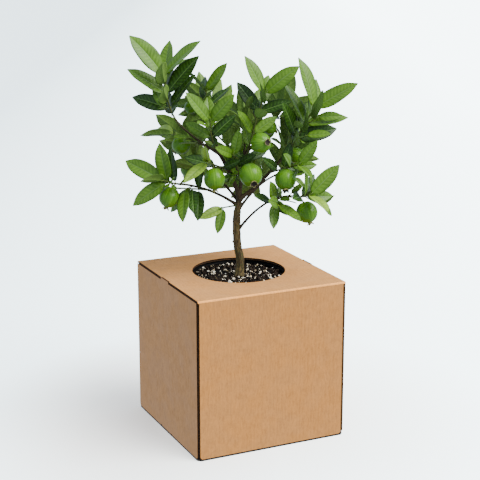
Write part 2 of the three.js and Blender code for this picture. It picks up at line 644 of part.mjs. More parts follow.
function makePot() {
  const pot = new THREE.Group();
  const slope = (POT_TOP_RADIUS - POT_BASE_RADIUS) / POT_HEIGHT;
  const outer = (z) => POT_BASE_RADIUS + slope * z;
  const rimFoot = POT_HEIGHT - POT_RIM_DEPTH;
  const heel = POT_HEEL;
  const wall = [[0, 0], [outer(0) - heel, 0], [outer(heel), heel], [outer(rimFoot), rimFoot],
    [POT_RIM_RADIUS, rimFoot], [POT_RIM_RADIUS, POT_HEIGHT], [outer(POT_HEIGHT) - POT_WALL, POT_HEIGHT],
    [outer(POT_WALL) - POT_WALL, POT_WALL], [0, POT_WALL]];
  pot.add(named('nursery_pot', turned(wall), blackPlastic()));
  const soilTop = BOX_HEIGHT - SOIL_DROP - BOARD - GAP;
  const soilFoot = POT_WALL + GAP;
  const soilSide = (z) => outer(z) - POT_WALL - GAP;
  const soilEdge = soilTop - SOIL_CROWN;
  const mix = [[0, soilFoot], [soilSide(soilFoot), soilFoot], [soilSide(soilEdge), soilEdge],
    [SOIL_LEVEL_RADIUS, soilTop], [0, soilTop]];
  pot.add(named('potting_mix', turned(mix), pottingMix()));
  return pot;
}

const tree = new THREE.Group();
tree.add(makeBox(), makePot(), makePlant());

export default tree;
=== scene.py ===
"""Dresses a young cas guava tree that stands in its nursery pot inside a box of corrugated board."""
import math

import bpy
import numpy as np
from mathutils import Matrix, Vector, noise
from mathutils.geometry import tessellate_polygon


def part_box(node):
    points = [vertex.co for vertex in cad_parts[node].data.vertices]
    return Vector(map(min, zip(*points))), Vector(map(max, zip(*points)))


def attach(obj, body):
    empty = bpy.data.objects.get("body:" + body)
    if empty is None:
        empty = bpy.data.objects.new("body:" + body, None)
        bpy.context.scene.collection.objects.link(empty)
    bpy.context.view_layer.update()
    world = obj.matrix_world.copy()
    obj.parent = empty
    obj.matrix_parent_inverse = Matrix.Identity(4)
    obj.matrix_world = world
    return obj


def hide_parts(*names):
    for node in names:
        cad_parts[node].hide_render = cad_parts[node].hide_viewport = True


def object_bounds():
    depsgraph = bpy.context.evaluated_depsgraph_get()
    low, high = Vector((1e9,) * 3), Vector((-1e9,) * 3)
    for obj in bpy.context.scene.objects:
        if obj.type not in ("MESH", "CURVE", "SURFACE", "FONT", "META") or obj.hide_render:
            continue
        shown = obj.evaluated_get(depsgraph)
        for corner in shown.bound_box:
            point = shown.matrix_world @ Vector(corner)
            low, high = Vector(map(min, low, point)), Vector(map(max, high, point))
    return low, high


bl_info = {
    "name": "Potted cas guava tree",
    "version": (1, 0, 0),
    "blender": (4, 5, 0),
    "location": "3D View > Sidebar > Guava tree",
    "description": "Bark, twigs, leaves, fruit, nursery pot, potting mix and box of a young guava tree",
    "category": "Object",
}

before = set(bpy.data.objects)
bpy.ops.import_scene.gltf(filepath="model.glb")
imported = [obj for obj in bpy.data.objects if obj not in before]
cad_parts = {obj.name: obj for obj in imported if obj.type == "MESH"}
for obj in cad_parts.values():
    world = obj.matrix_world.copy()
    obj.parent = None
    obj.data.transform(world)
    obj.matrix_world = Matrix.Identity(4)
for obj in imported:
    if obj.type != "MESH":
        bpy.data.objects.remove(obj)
CAD_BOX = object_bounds()

MM = 0.001
UP = np.array([0.0, 0.0, 1.0])
AWAY = np.array([0.0, 1.0, 0.0])

# Plant, in millimetres in its own space: the foot of the trunk on the mix and the turn of the crown
TRUNK_PLACE = (2, 2)
CROWN_TURN = math.radians(-25)
GAP = 0.3
TRUNK_BENDS = [(0, 0), (0.5, 20), (-2.6, 48), (-3.9, 95), (-0.4, 121), (0, 131)]
TRUNK_RADIUS = [7.6, 6.1, 6.3, 5.8, 4.4, 3.9]
FLARE = 1.6
FLARE_HEIGHT = 9

# Each limb: what it grows from and how far along, its tip (across, away, height above the mix),
# how far its middle rises over the straight line, and its radius at the foot and the tip
LIMBS = {
    "leader_left": ("trunk", 0.97, (-33, -20, 202), 5, (3.3, 2.3)),
    "leader_right": ("trunk", 0.84, (67, 0, 190), -5, (3.2, 2.1)),
    "leader_mid": ("trunk", 0.985, (6, -8, 186), 0, (2.2, 1.7)),
    "leader_back": ("trunk", 0.93, (8, 50, 190), -6, (2.8, 2)),
    "bough_left": ("trunk", 0.73, (-88, -32, 154), 7, (2.3, 1.6)),
    "bough_right": ("trunk", 0.5, (87, -32, 135), 18, (1.9, 1.3)),
    "bough_back_left": ("trunk", 0.78, (-56, 60, 160), 6, (2.2, 1.5)),
    "bough_back_right": ("trunk", 0.66, (56, 62, 148), 8, (2.1, 1.5)),
    "branch_top_left": ("leader_left", 0.95, (-87, -14, 239), -3, (2, 1.5)),
    "branch_upper_left": ("leader_left", 0.8, (-49, 15, 253), -3, (1.7, 1.3)),
    "branch_mid_right": ("leader_mid", 0.95, (22, 0, 232), -2, (1.6, 1.3)),
    "branch_back_left": ("leader_back", 0.85, (-26, 56, 236), -3, (1.8, 1.4)),
    "branch_back_right": ("leader_back", 0.95, (50, 46, 232), -4, (1.8, 1.4)),
}

# Each mass of leaves: the limb and how far along it the stem starts, the stem's tip, the number of
# leaf pairs, the first pair's turn in degrees, the leaf's length and how far the leaves lift
MASSES = {
    "top_left": ("branch_top_left", 1, (-111, -25, 316), 6, 90, 80, 0.15),
    "upper_left": ("branch_upper_left", 1, (-50, 12, 287), 3, 15, 58, 0.15),
    "centre_front": ("leader_left", 1, (-43, -42, 250), 4, 90, 56, 0.15),
    "upper_right": ("branch_mid_right", 1, (38, -5, 286), 4, 85, 64, 0.15),
    "centre": ("leader_mid", 0.6, (26, -36, 254), 4, 20, 52, 0.15),
    "right_top": ("leader_right", 1, (112, -5, 264), 6, 90, 76, 0.15),
    "left_mid": ("branch_top_left", 0.3, (-100, 4, 224), 3, 90, 54, -0.1),
    "left_low": ("bough_left", 1, (-114, -44, 162), 4, 0, 70, 0.1),
    "left_inner": ("bough_left", 0.55, (-92, -50, 152), 4, 40, 60, -0.6),
    "trunk_side": ("trunk", 0.74, (-24, -24, 116), 1, 20, 42, -0.8),
    "right_low": ("bough_right", 1, (106, -42, 139), 3, 120, 60, 0.1),
    "right_under": ("bough_right", 0.55, (58, -52, 128), 3, 45, 48, -0.1),
    "right_mid": ("leader_right", 0.7, (88, -44, 186), 4, 45, 48, 0.15),
    "front_left": ("leader_left", 0.5, (-46, -54, 192), 3, 0, 52, -0.3),
    "middle_front": ("leader_mid", 0.4, (-8, -34, 198), 3, 40, 46, 0.15),
    "middle_back": ("leader_back", 0.4, (-16, 40, 196), 4, 20, 52, 0.15),
    "back_left": ("bough_back_left", 1, (-82, 84, 200), 5, 30, 68, 0.15),
    "back_right": ("bough_back_right", 1, (80, 88, 190), 5, 60, 66, 0.15),
    "back_top_left": ("branch_back_left", 1, (-48, 74, 256), 5, 10, 64, 0.15),
    "back_top_right": ("branch_back_right", 1, (70, 62, 256), 5, 50, 64, 0.15),
    "back_centre": ("leader_back", 1, (8, 106, 236), 5, 0, 68, 0.15),
    "back_low": ("bough_back_right", 0.5, (8, 92, 146), 4, 20, 60, -0.1),
    "side_left": ("bough_back_left", 0.6, (-76, 50, 170), 4, 80, 56, 0.1),
    "side_right": ("leader_right", 0.9, (92, 50, 204), 4, 10, 60, 0.15),
}

# How the stems grow their pairs of leaves: millimetres, degrees and shares of the way along
SEED_STEP = 97
SPACE_SLACK = 8
STEM_RADII = (1.5, 1.1)
STEM_BEND = 0.36
FIRST_PAIR = 0.34
OPENING = (64, 38)
TURN_SPREAD = 14
TWIST_SPREAD = 44
MOST_TWIST = 46
NO_TWIST = 125
LIGHT_HEIGHT = 0.5
SIDE_LIGHT = 0.3
MIDDLE_DEPTH = 22
TRIES = [(0, 0), (22, 0), (-22, 0), (0, -12), (40, 8), (-40, 8), (0, 22)]
STATIONS = (0, 0.36, 0.7, 1)
HALF_WIDTHS = (0.006, 0.2, 0.16, 0)
# The rule's coarse leaf: its foot is corner 0, its rings are 1 to 3 and 4 to 6, its tip is 7
LEAF_TRIANGLES = [(0, 1, 2), (0, 2, 3), (1, 4, 5), (1, 5, 2), (2, 5, 6), (2, 6, 3), (4, 7, 5), (5, 7, 6)]
LEAF_EDGES = [(0, 1), (0, 2), (0, 3), (1, 4), (2, 5), (3, 6), (4, 7), (5, 7), (6, 7),
              (1, 2), (2, 3), (4, 5), (5, 6)]
FOLD = math.radians(17)
BEND = (6, 26)
SIZES = (0.92, 1.08)
LOW_SIZE = 0.78
CLEARANCE = 1.1
ROOT_REACH = 9
LEAF_REACH = 0.65
BALL_REACH = 0.75
BALL_SPACING = 3
TANGENT_STEP = 0.0001
LENGTH_STEPS = 200
NEARLY_AWAY = 0.04
TINY = 1e-9

# Each fruit: its mass, how far along the stem its stalk starts, its centre and its radius
FRUIT = [
    ("centre", 0.55, (32, -55, 221), 15.2),
    ("centre", 0.1, (17, -50, 172), 17.4),
    ("front_left", 0.8, (-37, -50, 166), 15.8),
    ("right_mid", 0.6, (69, -45, 164), 16),
    ("right_low", 0.2, (102, -40, 113), 16),
    ("left_low", 0.3, (-105, -40, 136), 15.6),
    ("left_mid", 0.45, (-88, 0, 208), 13.8),
    ("side_right", 0.25, (86, 6, 191), 12.4),
    ("upper_right", 0.1, (46, -4, 236), 11),
    ("upper_left", 0.35, (-74, 26, 262), 9.5),
    ("back_left", 0.4, (-78, 80, 156), 15.4),
    ("back_centre", 0.5, (2, 88, 186), 16),
    ("back_right", 0.3, (76, 80, 140), 15),
    ("back_top_right", 0.2, (44, 82, 216), 12.5),
]
# Where the flower end of a mass's first fruit faces, where that isn't down and away from the stem
FLOWER_WAYS = {"centre": (0.53, -0.82, 0.2)}
STALK_RADIUS = 1.1
CALYX_RADIUS = 0.36
FRUIT_HANG = 0.6
FRUIT_STRETCH = 1.04
STALK_END = 0.8
STALK_RISE = 1
OUTER_DEPTH = 50
OUTLOOK_RISE = 0.26
OUTLOOK_LENGTH = 55
OUTLOOK_RADIUS = 0.7

# Finer growth, which the solids leave out: side shoots in the leaf axils and along the limbs
FINE_SEED = 911
SHOOT_LENGTH = (0.28, 0.46)
SHOOT_LEAF = (0.4, 0.6)
SHOOT_LEAN = (40, 62)
SHOOT_RADII = (0.8, 0.55)
# A shoot's pairs of leaves: how far along it each stands, and its share of the leaf's size
SHOOT_PAIRS = ((0.55, 0.85), (1.0, 1.0))
TWO_PAIRS = 0.6
SHOOT_SIZES = (0.85, 1.1)
SHOOT_TURN = 30
SHOOT_RISE = 0.25
SHOOT_OPENING = 46
SHOOT_BEND = math.radians(14)
SHOOT_TWIST = 20
SHOOT_LIFT = 0.1
SHOOT_AGE = 0.35
SHOOT_TRIES = [(0, 0), (26, 0), (-26, 0), (52, 6), (-52, 6), (90, 0)]
SPUR_FIRST = 0.34
SPUR_SPACING = 19
SPUR_LEAF = (24, 38)
BUD_LENGTH = (9, 14)
BUD_LEAN = 13
BUD_BEND = 0.2
REACH_SLACK = 0.002


def lerp(low, high, share):
    return low + (high - low) * share


def unit(vector):
    return vector / math.sqrt(vector @ vector)


def chance(seed):
    """A small repeatable source of chance from 0 to 1, the one that the solids are grown with."""
    state = [seed & 0xFFFFFFFF]

    def draw():
        state[0] = (state[0] + 0x6D2B79F5) & 0xFFFFFFFF
        t = state[0]
        t = ((t ^ (t >> 15)) * (t | 1)) & 0xFFFFFFFF
        t ^= (t + (t ^ (t >> 7)) * (t | 61)) & 0xFFFFFFFF
        return (t ^ (t >> 14)) / 4294967296

    return draw


class Line:
    """A curve in the plant's space, whose point() takes a share of the way along."""

    def tangent(self, share):
        low = max(share - TANGENT_STEP, 0)
        high = min(share + TANGENT_STEP, 1)
        return unit(self.point(high) - self.point(low))

    def length(self):
        points = np.array([self.point(i / LENGTH_STEPS) for i in range(LENGTH_STEPS + 1)])
        return float(np.linalg.norm(np.diff(points, axis=0), axis=1).sum())


class Arc(Line):
    """A quadratic curve from start to end that middle draws to its side."""

    def __init__(self, start, middle, end):
        self.start, self.middle, self.end = start, middle, end

    def point(self, share):
        rest = 1 - share
        return rest * rest * self.start + 2 * rest * share * self.middle + share * share * self.end


class Bends(Line):
    """A smooth curve through all of its points, drawn tighter where they lie close."""

    def __init__(self, points):
        self.points = [2 * points[0] - points[1], *points, 2 * points[-1] - points[-2]]

    def point(self, share):
        spans = len(self.points) - 3
        span = min(int(share * spans), spans - 1)
        t = share * spans - span
        p0, p1, p2, p3 = self.points[span:span + 4]
        d0, d1, d2 = (math.sqrt(np.linalg.norm(b - a)) for a, b in ((p0, p1), (p1, p2), (p2, p3)))
        leave = d1 * ((p1 - p0) / d0 - (p2 - p0) / (d0 + d1) + (p2 - p1) / d1)
        reach = d1 * ((p2 - p1) / d1 - (p3 - p1) / (d1 + d2) + (p3 - p2) / d2)
        square = 3 * (p2 - p1) - 2 * leave - reach
        cube = 2 * (p1 - p2) + leave + reach
        return p1 + leave * t + square * t * t + cube * t * t * t


def arch(start, end, rise):
    return Arc(start, (start + end) / 2 + UP * 2 * rise, end)


def straight(start, end):
    return Arc(start, (start + end) / 2, end)


def square_to(direction):
    """Two directions square to a limb's own, the first as level across the view as it can be."""
    across = np.cross(AWAY, direction)
    if across @ across < NEARLY_AWAY:
        across = np.cross(UP, direction)
    across = unit(across)
    return across, np.cross(direction, across)


def outward_from(axis, degrees):
    """The direction square to a limb's own at a turn round it."""
    across, over = square_to(axis)
    return across * math.cos(math.radians(degrees)) + over * math.sin(math.radians(degrees))


def turned_about(vector, axis, angle):
    return (vector * math.cos(angle) + np.cross(axis, vector) * math.sin(angle)
            + axis * (axis @ vector) * (1 - math.cos(angle)))


class Limb:
    """Trunk, bough, stem or stalk: a curve with its radius along it."""

    def __init__(self, name, curve, radius_at):
        self.name, self.curve, self.radius_at = name, curve, radius_at
        count = math.ceil(curve.length() / BALL_SPACING)
        shares = [i / count for i in range(count + 1)]
        self.centres = np.array([curve.point(share) for share in shares])
        self.radii = np.array([radius_at(share) for share in shares])


def tapered(foot, tip):
    """The radius at a share of the way along, from the foot's to the tip's."""
    return lambda share: lerp(foot, tip, share)


def make_limbs():
    """The trunk, and the limbs that grow from it and from each other."""
    bends = [np.array([x, 0, z + GAP]) for x, z in TRUNK_BENDS]
    curve = Bends(bends)

    def trunk_radius(share):
        place = share * (len(TRUNK_RADIUS) - 1)
        low = min(int(place), len(TRUNK_RADIUS) - 2)
        flare = FLARE * max(0, 1 - curve.point(share)[2] / FLARE_HEIGHT)
        return lerp(TRUNK_RADIUS[low], TRUNK_RADIUS[low + 1], place - low) + flare

    limbs = {"trunk": Limb("trunk", curve, trunk_radius)}
    for name, (parent, at, tip, rise, radii) in LIMBS.items():
        start = limbs[parent].curve.point(at)
        limbs[name] = Limb(name, arch(start, np.array(tip, float), rise), tapered(*radii))
    return limbs


class Leaf:
    """A leaf that leaves its root along one direction and bends back, its upper side along the other."""

    def __init__(self, root, direction, upper, length, bend, age=0.5):
        self.root, self.length, self.bend, self.age = root, length, bend, age
        self.along = unit(direction)
        self.normal = unit(upper - self.along * (upper @ self.along))
        self.side = np.cross(self.along, self.normal)
        rings = [self.ring(t, width * length) for t, width in zip(STATIONS, HALF_WIDTHS)]
        base, wide, narrow, tip = rings
        self.middle, self.tip = wide[1], tip[1]
        corners = np.array([base[1], *wide, *narrow, tip[1]])
        self.triangles = corners[np.array(LEAF_TRIANGLES)]
        shift = np.array([self.normal * CLEARANCE, -self.normal * CLEARANCE])
        self.stretches = (corners[np.array(LEAF_EDGES)][None] + shift[:, None, None]).reshape(-1, 2, 3)

    def spine(self, share):
        """Points and upward directions of the midrib at an array of shares of the way along."""
        turn = (self.bend * np.asarray(share))[..., None]
        reach = self.length / self.bend
        points = self.root + self.along * reach * np.sin(turn) - self.normal * reach * (1 - np.cos(turn))
        return points, self.along * np.sin(turn) + self.normal * np.cos(turn)

    def ring(self, share, half_width):
        point, rise = self.spine(share)
        sideways = self.side * half_width * math.cos(FOLD)
        upward = rise * half_width * math.sin(FOLD)
        return point - sideways + upward, point, point + sideways + upward


def passes_through(stretches, triangles):
    """Whether any stretch passes through any triangle."""
    start = stretches[:, None, 0]
    way = stretches[:, None, 1] - start
    corner = triangles[None, :, 0]
    u = triangles[None, :, 1] - corner
    v = triangles[None, :, 2] - corner
    h = np.cross(way, v)
    det = (u * h).sum(-1)
    flat = np.abs(det) < TINY
    det = np.where(flat, 1, det)
    s = start - corner
    k = np.cross(s, u)
    first = (s * h).sum(-1) / det
    second = (way * k).sum(-1) / det
    reach = (v * k).sum(-1) / det
    hit = (first >= 0) & (second >= 0) & (first + second <= 1) & (reach >= 0) & (reach <= 1)
    return bool((hit & ~flat).any())


def leaves_touch(one, other):
    """Leaves of one pair part at their root, so only leaves of different pairs are tested."""
    if np.linalg.norm(one.root - other.root) < BALL_SPACING:
        return False
    if np.linalg.norm(one.middle - other.middle) > (one.length + other.length) * LEAF_REACH:
        return False
    return (passes_through(one.stretches, other.triangles)
            or passes_through(other.stretches, one.triangles))


def nearest_on_stretch(points, start, end):
    way = end - start
    share = ((points - start) * way).sum(-1) / (way * way).sum(-1)
    return start + way * np.clip(share, 0, 1)[..., None]


def distances_to_triangles(points, triangles):
    """The distance of each point from each triangle, as an array of points by triangles."""
    a, b, c = (triangles[None, :, i] for i in range(3))
    points = points[:, None]
    normal = np.cross(b - a, c - a)
    normal = normal / np.linalg.norm(normal, axis=-1)[..., None]
    above = ((points - a) * normal).sum(-1)
    foot = points - normal * above[..., None]
    inside = np.ones(foot.shape[:-1], bool)
    nearest = np.full(foot.shape[:-1], np.inf)
    for start, end in ((a, b), (b, c), (c, a)):
        inside &= (np.cross(end - start, foot - start) * normal).sum(-1) >= 0
        gap = np.linalg.norm(points - nearest_on_stretch(points, start, end), axis=-1)
        nearest = np.minimum(nearest, gap)
    return np.where(inside, np.abs(above), nearest)


class Balls:
    """Space that is taken: balls set close along limbs, stems, stalks and fruit, each with its owner."""

    def __init__(self):
        self.centres, self.radii, self.owners = np.zeros((0, 3)), np.zeros(0), np.zeros(0, object)

    def add(self, centres, radii, owner):
        self.centres = np.vstack([self.centres, centres])
        self.radii = np.append(self.radii, radii)
        self.owners = np.append(self.owners, [owner] * len(centres))

    def touch(self, leaf, owner, own_reach=ROOT_REACH):
        close = np.linalg.norm(self.centres - leaf.middle, axis=1) <= leaf.length * BALL_REACH + self.radii
        own = (self.owners == owner) & (np.linalg.norm(self.centres - leaf.root, axis=1) < own_reach)
        near = close & ~own
        if not near.any():
            return False
        gaps = distances_to_triangles(self.centres[near], leaf.triangles).min(1)
        return bool((gaps < self.radii[near] + CLEARANCE).any())


class Mass:
    """A mass of leaves on its stem, which goes on from its limb's tip or leaves the limb's side."""

    def __init__(self, name, order, limbs, seed):
        limb_name, at, tip, self.pairs, self.roll, self.leaf_length, self.lift = MASSES[name]
        limb = limbs[limb_name]
        self.name = name
        heading = limb.curve.tangent(at)
        foot = limb.curve.point(at)
        if at == 1:
            foot = foot + heading * GAP
        tip = np.array(tip, float)
        elbow = heading if at == 1 else unit(tip - foot)
        middle = foot + elbow * np.linalg.norm(foot - tip) * STEM_BEND
        taper = tapered(min(STEM_RADII[0], limb.radius_at(at)), STEM_RADII[1])
        self.stem = Limb(name, Arc(foot, middle, tip), taper)
        self.draw = chance(seed + SEED_STEP * order)
        self.leaves, self.fruit, self.shoots = [], [], []

    def reach(self, point):
        return np.linalg.norm(self.stem.centres - point, axis=1).min()


def turn_to_light(direction, axis, root, twist):
    """The upper side of a leaf faces its twig, and its stalk twists it towards the light outside."""
    natural = unit(axis - direction * (axis @ direction))
    light = unit(np.array([root[0] * SIDE_LIGHT, root[1] - MIDDLE_DEPTH, 0])) + UP * LIGHT_HEIGHT
    light = unit(light - direction * (light @ direction))
    degrees = math.degrees(math.atan2(np.cross(natural, light) @ direction, natural @ light))
    turn = 0 if abs(degrees) > NO_TWIST else max(-MOST_TWIST, min(MOST_TWIST, degrees))
    return turned_about(natural, direction, math.radians(turn + twist))


class Fruit:
    """A fruit on its stalk, its flower end pointing down and away from the stem."""

    def __init__(self, mass, at, centre, radius):
        self.name, self.start = mass.name, mass.stem.curve.point(at)
        self.centre, self.radius = np.array(centre, float), radius
        self.turn_to(unit(self.centre - self.start) - UP * FRUIT_HANG)

    def turn_to(self, way):
        """Points the flower end one way and brings the stalk to the other end."""
        self.axis = unit(way)
        top = self.centre - self.axis * self.radius * STALK_END
        taper = tapered(STALK_RADIUS, STALK_RADIUS)
        self.stalk = Limb(self.name, arch(self.start, top, STALK_RISE), taper)


class Crown:
    """Grows the limbs, stems, fruit and leaves by the rule of the solids, then the finer shoots."""

    def __init__(self, seed, fullness):
        self.limbs = make_limbs()
        self.balls = Balls()
        for limb in self.limbs.values():
            self.balls.add(limb.centres, limb.radii, limb.name)
        self.masses = [Mass(name, order, self.limbs, seed) for order, name in enumerate(MASSES)]
        for mass in self.masses:
            self.balls.add(mass.stem.centres, mass.stem.radii, mass.name)
        for plan in FRUIT:
            self.grow_fruit(*plan)
        self.leaves = []
        for mass in self.masses:
            for i in range(mass.pairs - 1, -1, -1):
                turn = mass.roll + 90 * i + (mass.draw() - 0.5) * TURN_SPREAD
                share = i / (mass.pairs - 1) if mass.pairs > 1 else 1
                self.grow_leaf(mass, share, turn)
                self.grow_leaf(mass, share, turn + 180)
        self.spurs, self.reach = [], CAD_BOX
        self.grow_finer(fullness)
        for mass_name, way in FLOWER_WAYS.items():
            self.mass_named(mass_name).fruit[0].turn_to(np.array(way))

    def mass_named(self, name):
        return next(mass for mass in self.masses if mass.name == name)

    def grow_fruit(self, mass_name, at, centre, radius):
        mass = self.mass_named(mass_name)
        fruit = Fruit(mass, at, centre, radius)
        mass.fruit.append(fruit)
        calyx = fruit.centre + fruit.axis * radius
        self.balls.add([fruit.centre, calyx], [radius, radius * CALYX_RADIUS], mass_name)
        self.balls.add(fruit.stalk.centres, fruit.stalk.radii, mass_name)
        depth = fruit.centre[1] - MIDDLE_DEPTH
        if abs(depth) > OUTER_DEPTH:
            outlook = unit(np.array([0, math.copysign(1, depth), OUTLOOK_RISE])) * OUTLOOK_LENGTH
            line = straight(fruit.centre, fruit.centre + outlook)
            sight = Limb("outlook", line, tapered(radius * OUTLOOK_RADIUS, radius * OUTLOOK_RADIUS))
            self.balls.add(sight.centres, sight.radii, "outlook")

    def keeps_to_its_space(self, leaf, mass):
        own = mass.reach(leaf.middle) - SPACE_SLACK
        return all(other is mass or other.reach(leaf.middle) > own for other in self.masses)

    def grow_leaf(self, mass, share, roll):
        """One leaf of a pair: it is tried at a few turns, and left out where it finds no room."""
        at = lerp(FIRST_PAIR, 1, share)
        axis = mass.stem.curve.tangent(at)
        root = mass.stem.curve.point(at)
        opening = lerp(*OPENING, share) + (mass.draw() - 0.5) * TURN_SPREAD
        size = mass.leaf_length * lerp(LOW_SIZE, 1, share) * lerp(*SIZES, mass.draw())
        bend = math.radians(lerp(*BEND, mass.draw()))
        twist = (mass.draw() - 0.5) * TWIST_SPREAD
        for swing, wider in TRIES:
            leaf = leaf_at(root, axis, roll + swing, opening + wider, size, bend, twist, mass.lift)
            if self.has_room(leaf, mass.name) and self.keeps_to_its_space(leaf, mass):
                leaf.age = 1 - share
                self.leaves.append(leaf)
                mass.leaves.append(leaf)
                return

    def has_room(self, leaf, owner, own_reach=ROOT_REACH):
        return not (self.balls.touch(leaf, owner, own_reach)
                    or any(leaves_touch(leaf, other) for other in self.leaves))

    def grow_finer(self, fullness):
        """Side shoots in the axils of each mass, and short spurs along the limbs in the crown."""
        for order, mass in enumerate(self.masses):
            draw = chance(FINE_SEED + SEED_STEP * order)
            low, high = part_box("leaves_" + mass.name)
            self.reach = (np.array(low) - REACH_SLACK, np.array(high) + REACH_SLACK)
            for i in range(mass.pairs):
                share = i / max(mass.pairs - 1, 1)
                for half in (0, 180):
                    turn = mass.roll + 90 * i + half + lerp(-SHOOT_TURN, SHOOT_TURN, draw())
                    size = mass.leaf_length * lerp(*SHOOT_LEAF, draw())
                    if draw() < fullness and share < 1:
                        at = lerp(FIRST_PAIR, 1, share)
                        self.grow_shoot(mass.stem, mass.name, at, turn, size, draw, mass.shoots)
            self.grow_bud(mass, draw)
        for order, limb in enumerate(self.limbs.values()):
            draw = chance(FINE_SEED - SEED_STEP * (order + 1))
            self.reach = (np.array(CAD_BOX[0]), np.array(CAD_BOX[1]))
            count = int(limb.curve.length() * (1 - SPUR_FIRST) / SPUR_SPACING)
            for i in range(count if limb.name != "trunk" else 0):
                at = lerp(SPUR_FIRST, 1, (i + draw()) / count)
                turn = 360 * draw()
                size = lerp(*SPUR_LEAF, draw())
                if draw() < fullness:
                    self.grow_shoot(limb, limb.name, at, turn, size, draw, self.spurs)

    def grow_shoot(self, parent, owner, at, turn, leaf_size, draw, kept):
        """A short side shoot with one or two pairs of small leaves, kept only where some find room."""
        axis = parent.curve.tangent(at)
        foot = parent.curve.point(at)
        lean = math.radians(lerp(*SHOOT_LEAN, draw()))
        length = leaf_size * lerp(*SHOOT_LENGTH, draw()) * 2
        pairs = SHOOT_PAIRS if draw() < TWO_PAIRS else SHOOT_PAIRS[1:]
        sizes = [lerp(*SHOOT_SIZES, draw()) for _ in range(4)]
        for swing, wider in SHOOT_TRIES:
            outward = outward_from(axis, turn + swing)
            heading = unit(axis * math.cos(lean) + outward * math.sin(lean))
            tip = foot + unit(heading + UP * SHOOT_RISE) * length
            curve = Arc(foot, foot + heading * length * 0.5, tip)
            shoot = Limb(owner, curve, tapered(*SHOOT_RADII))
            clear = shoot.centres[2:]
            if len(clear) and (self.crosses_leaf(clear) or self.crosses_wood(clear, owner)):
                continue
            leaves = []
            for number, (place, scale) in enumerate(pairs):
                for half in (0, 180):
                    size = leaf_size * scale * sizes[number * 2 + half // 180]
                    twist = lerp(-SHOOT_TWIST, SHOOT_TWIST, draw())
                    leaf = leaf_at(curve.point(place), curve.tangent(place), turn + 90 * number + half,
                                   SHOOT_OPENING, size, SHOOT_BEND, twist, SHOOT_LIFT)
                    if self.in_reach(leaf) and self.has_room(leaf, owner, ROOT_REACH + length):
                        leaf.age = SHOOT_AGE * draw()
                        leaves.append(leaf)
            if leaves:
                self.leaves.extend(leaves)
                self.balls.add(shoot.centres, shoot.radii, owner)
                kept.append((shoot, leaves))
                return

    def in_reach(self, leaf):
        tip = to_row(leaf.tip)
        return bool((tip >= self.reach[0]).all() and (tip <= self.reach[1]).all())

    def crosses_leaf(self, centres):
        return any(distances_to_triangles(centres, leaf.triangles).min() < CLEARANCE
                   for leaf in self.leaves
                   if np.linalg.norm(leaf.middle - centres[-1]) < leaf.length + 2 * BALL_SPACING)

    def crosses_wood(self, centres, owner):
        others = self.balls.owners != owner
        gaps = np.linalg.norm(self.balls.centres[others][:, None] - centres[None], axis=2)
        return bool((gaps < self.balls.radii[others][:, None] + CLEARANCE).any())

    def grow_bud(self, mass, draw):
        """The stem ends in two young leaves that are still folded together."""
        axis = mass.stem.curve.tangent(1)
        root = mass.stem.curve.point(1)
        length = lerp(*BUD_LENGTH, draw())
        for half in (0, 180):
            leaf = leaf_at(root, axis, mass.roll + 90 * mass.pairs + half, BUD_LEAN, length, BUD_BEND, 0, 0)
            leaf.age = 0
            mass.shoots.append((None, [leaf]))


def leaf_at(root, axis, roll, opening, size, bend, twist, lift):
    """A leaf at a turn round its twig, opened from it by some degrees."""
    lean = math.radians(opening)
    direction = unit(axis * math.cos(lean) + outward_from(axis, roll) * math.sin(lean) + UP * lift)
    return Leaf(root, direction, turn_to_light(direction, axis, root, twist), size, bend)


def to_row(points):
    """Points of the plant's own space, in millimetres, as places in the row frame, in metres."""
    turn = np.array([[math.cos(CROWN_TURN), -math.sin(CROWN_TURN), 0],
                     [math.sin(CROWN_TURN), math.cos(CROWN_TURN), 0], [0, 0, 1]])
    foot = np.array([TRUNK_PLACE[0] * MM, TRUNK_PLACE[1] * MM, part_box("potting_mix")[1].z])
    return np.asarray(points) @ turn.T * MM + foot


# Leaves as they are seen: shares of the leaf's length or half width, millimetres, and ages from 0 to 1
PETIOLE = 0.055
PETIOLE_SIDES = 6
PETIOLE_RINGS = 6
PETIOLE_THICKNESS = 0.8
PETIOLE_OVERLAP = (0.012, 0.05)
PETIOLE_DROP = 0.25
BLADE_WIDTH = 0.192
BLADE_FOOT = 0.007
BLADE_FULLNESS = 0.6
BLADE_LEAN = 0.3
WIDEST_AT = 0.45
TIP_DRAW = 0.42
TIP_REACH = 0.13
FOLD_EASE = (1.15, 0.55)
VEIN_SWEEP = 0.5
VEIN_START = 0.03
VEIN_REACH = 0.82
VEIN_BIAS = 0.8
FEWEST_VEINS = 4
CLOSER_VEINS = 0.75
WAVE_HEIGHT = 0.016
WAVE_TURNS = 9
WAVE_SHIFT = 1.3
WAVE_CHANCE = (0.31, 0.17, 0.23)
GROOVE_DEPTH = 0.3
GROOVE_WIDTH = 0.06
RIB_THICKNESS = 0.9
RIB_WIDTH = 0.07
RIB_TAPER = 0.7
RIB_PALENESS = 0.05
FULL_LENGTH = 70
LONG_LENGTH = 80
COLUMNS = (0.05, 0.22, 0.43, 0.65, 0.85, 1)
SMALL_COLUMNS = (0.08, 0.4, 0.75, 1)
SMALL_LEAF = 34
YOUNG = 0.17
OLD = 0.82
AGE_SPREAD = 0.5
MOST_TRIANGLES = 153000

# Wood as it is seen: millimetres, shares and counts
TRUNK_SIDES = 72
TRUNK_RINGS = 190
TRUNK_DEPTH = 4
BURIED_RINGS = 5
BURIED_WIDENING = 0.12
CROOK = 1.7
CROOK_HEIGHT = 31
CROOK_LENGTH = 13
TRUNK_SCARS = (21, 47, 69, 88, 104)
TRUNK_SCAR_SIZE = (0.35, 1.6)
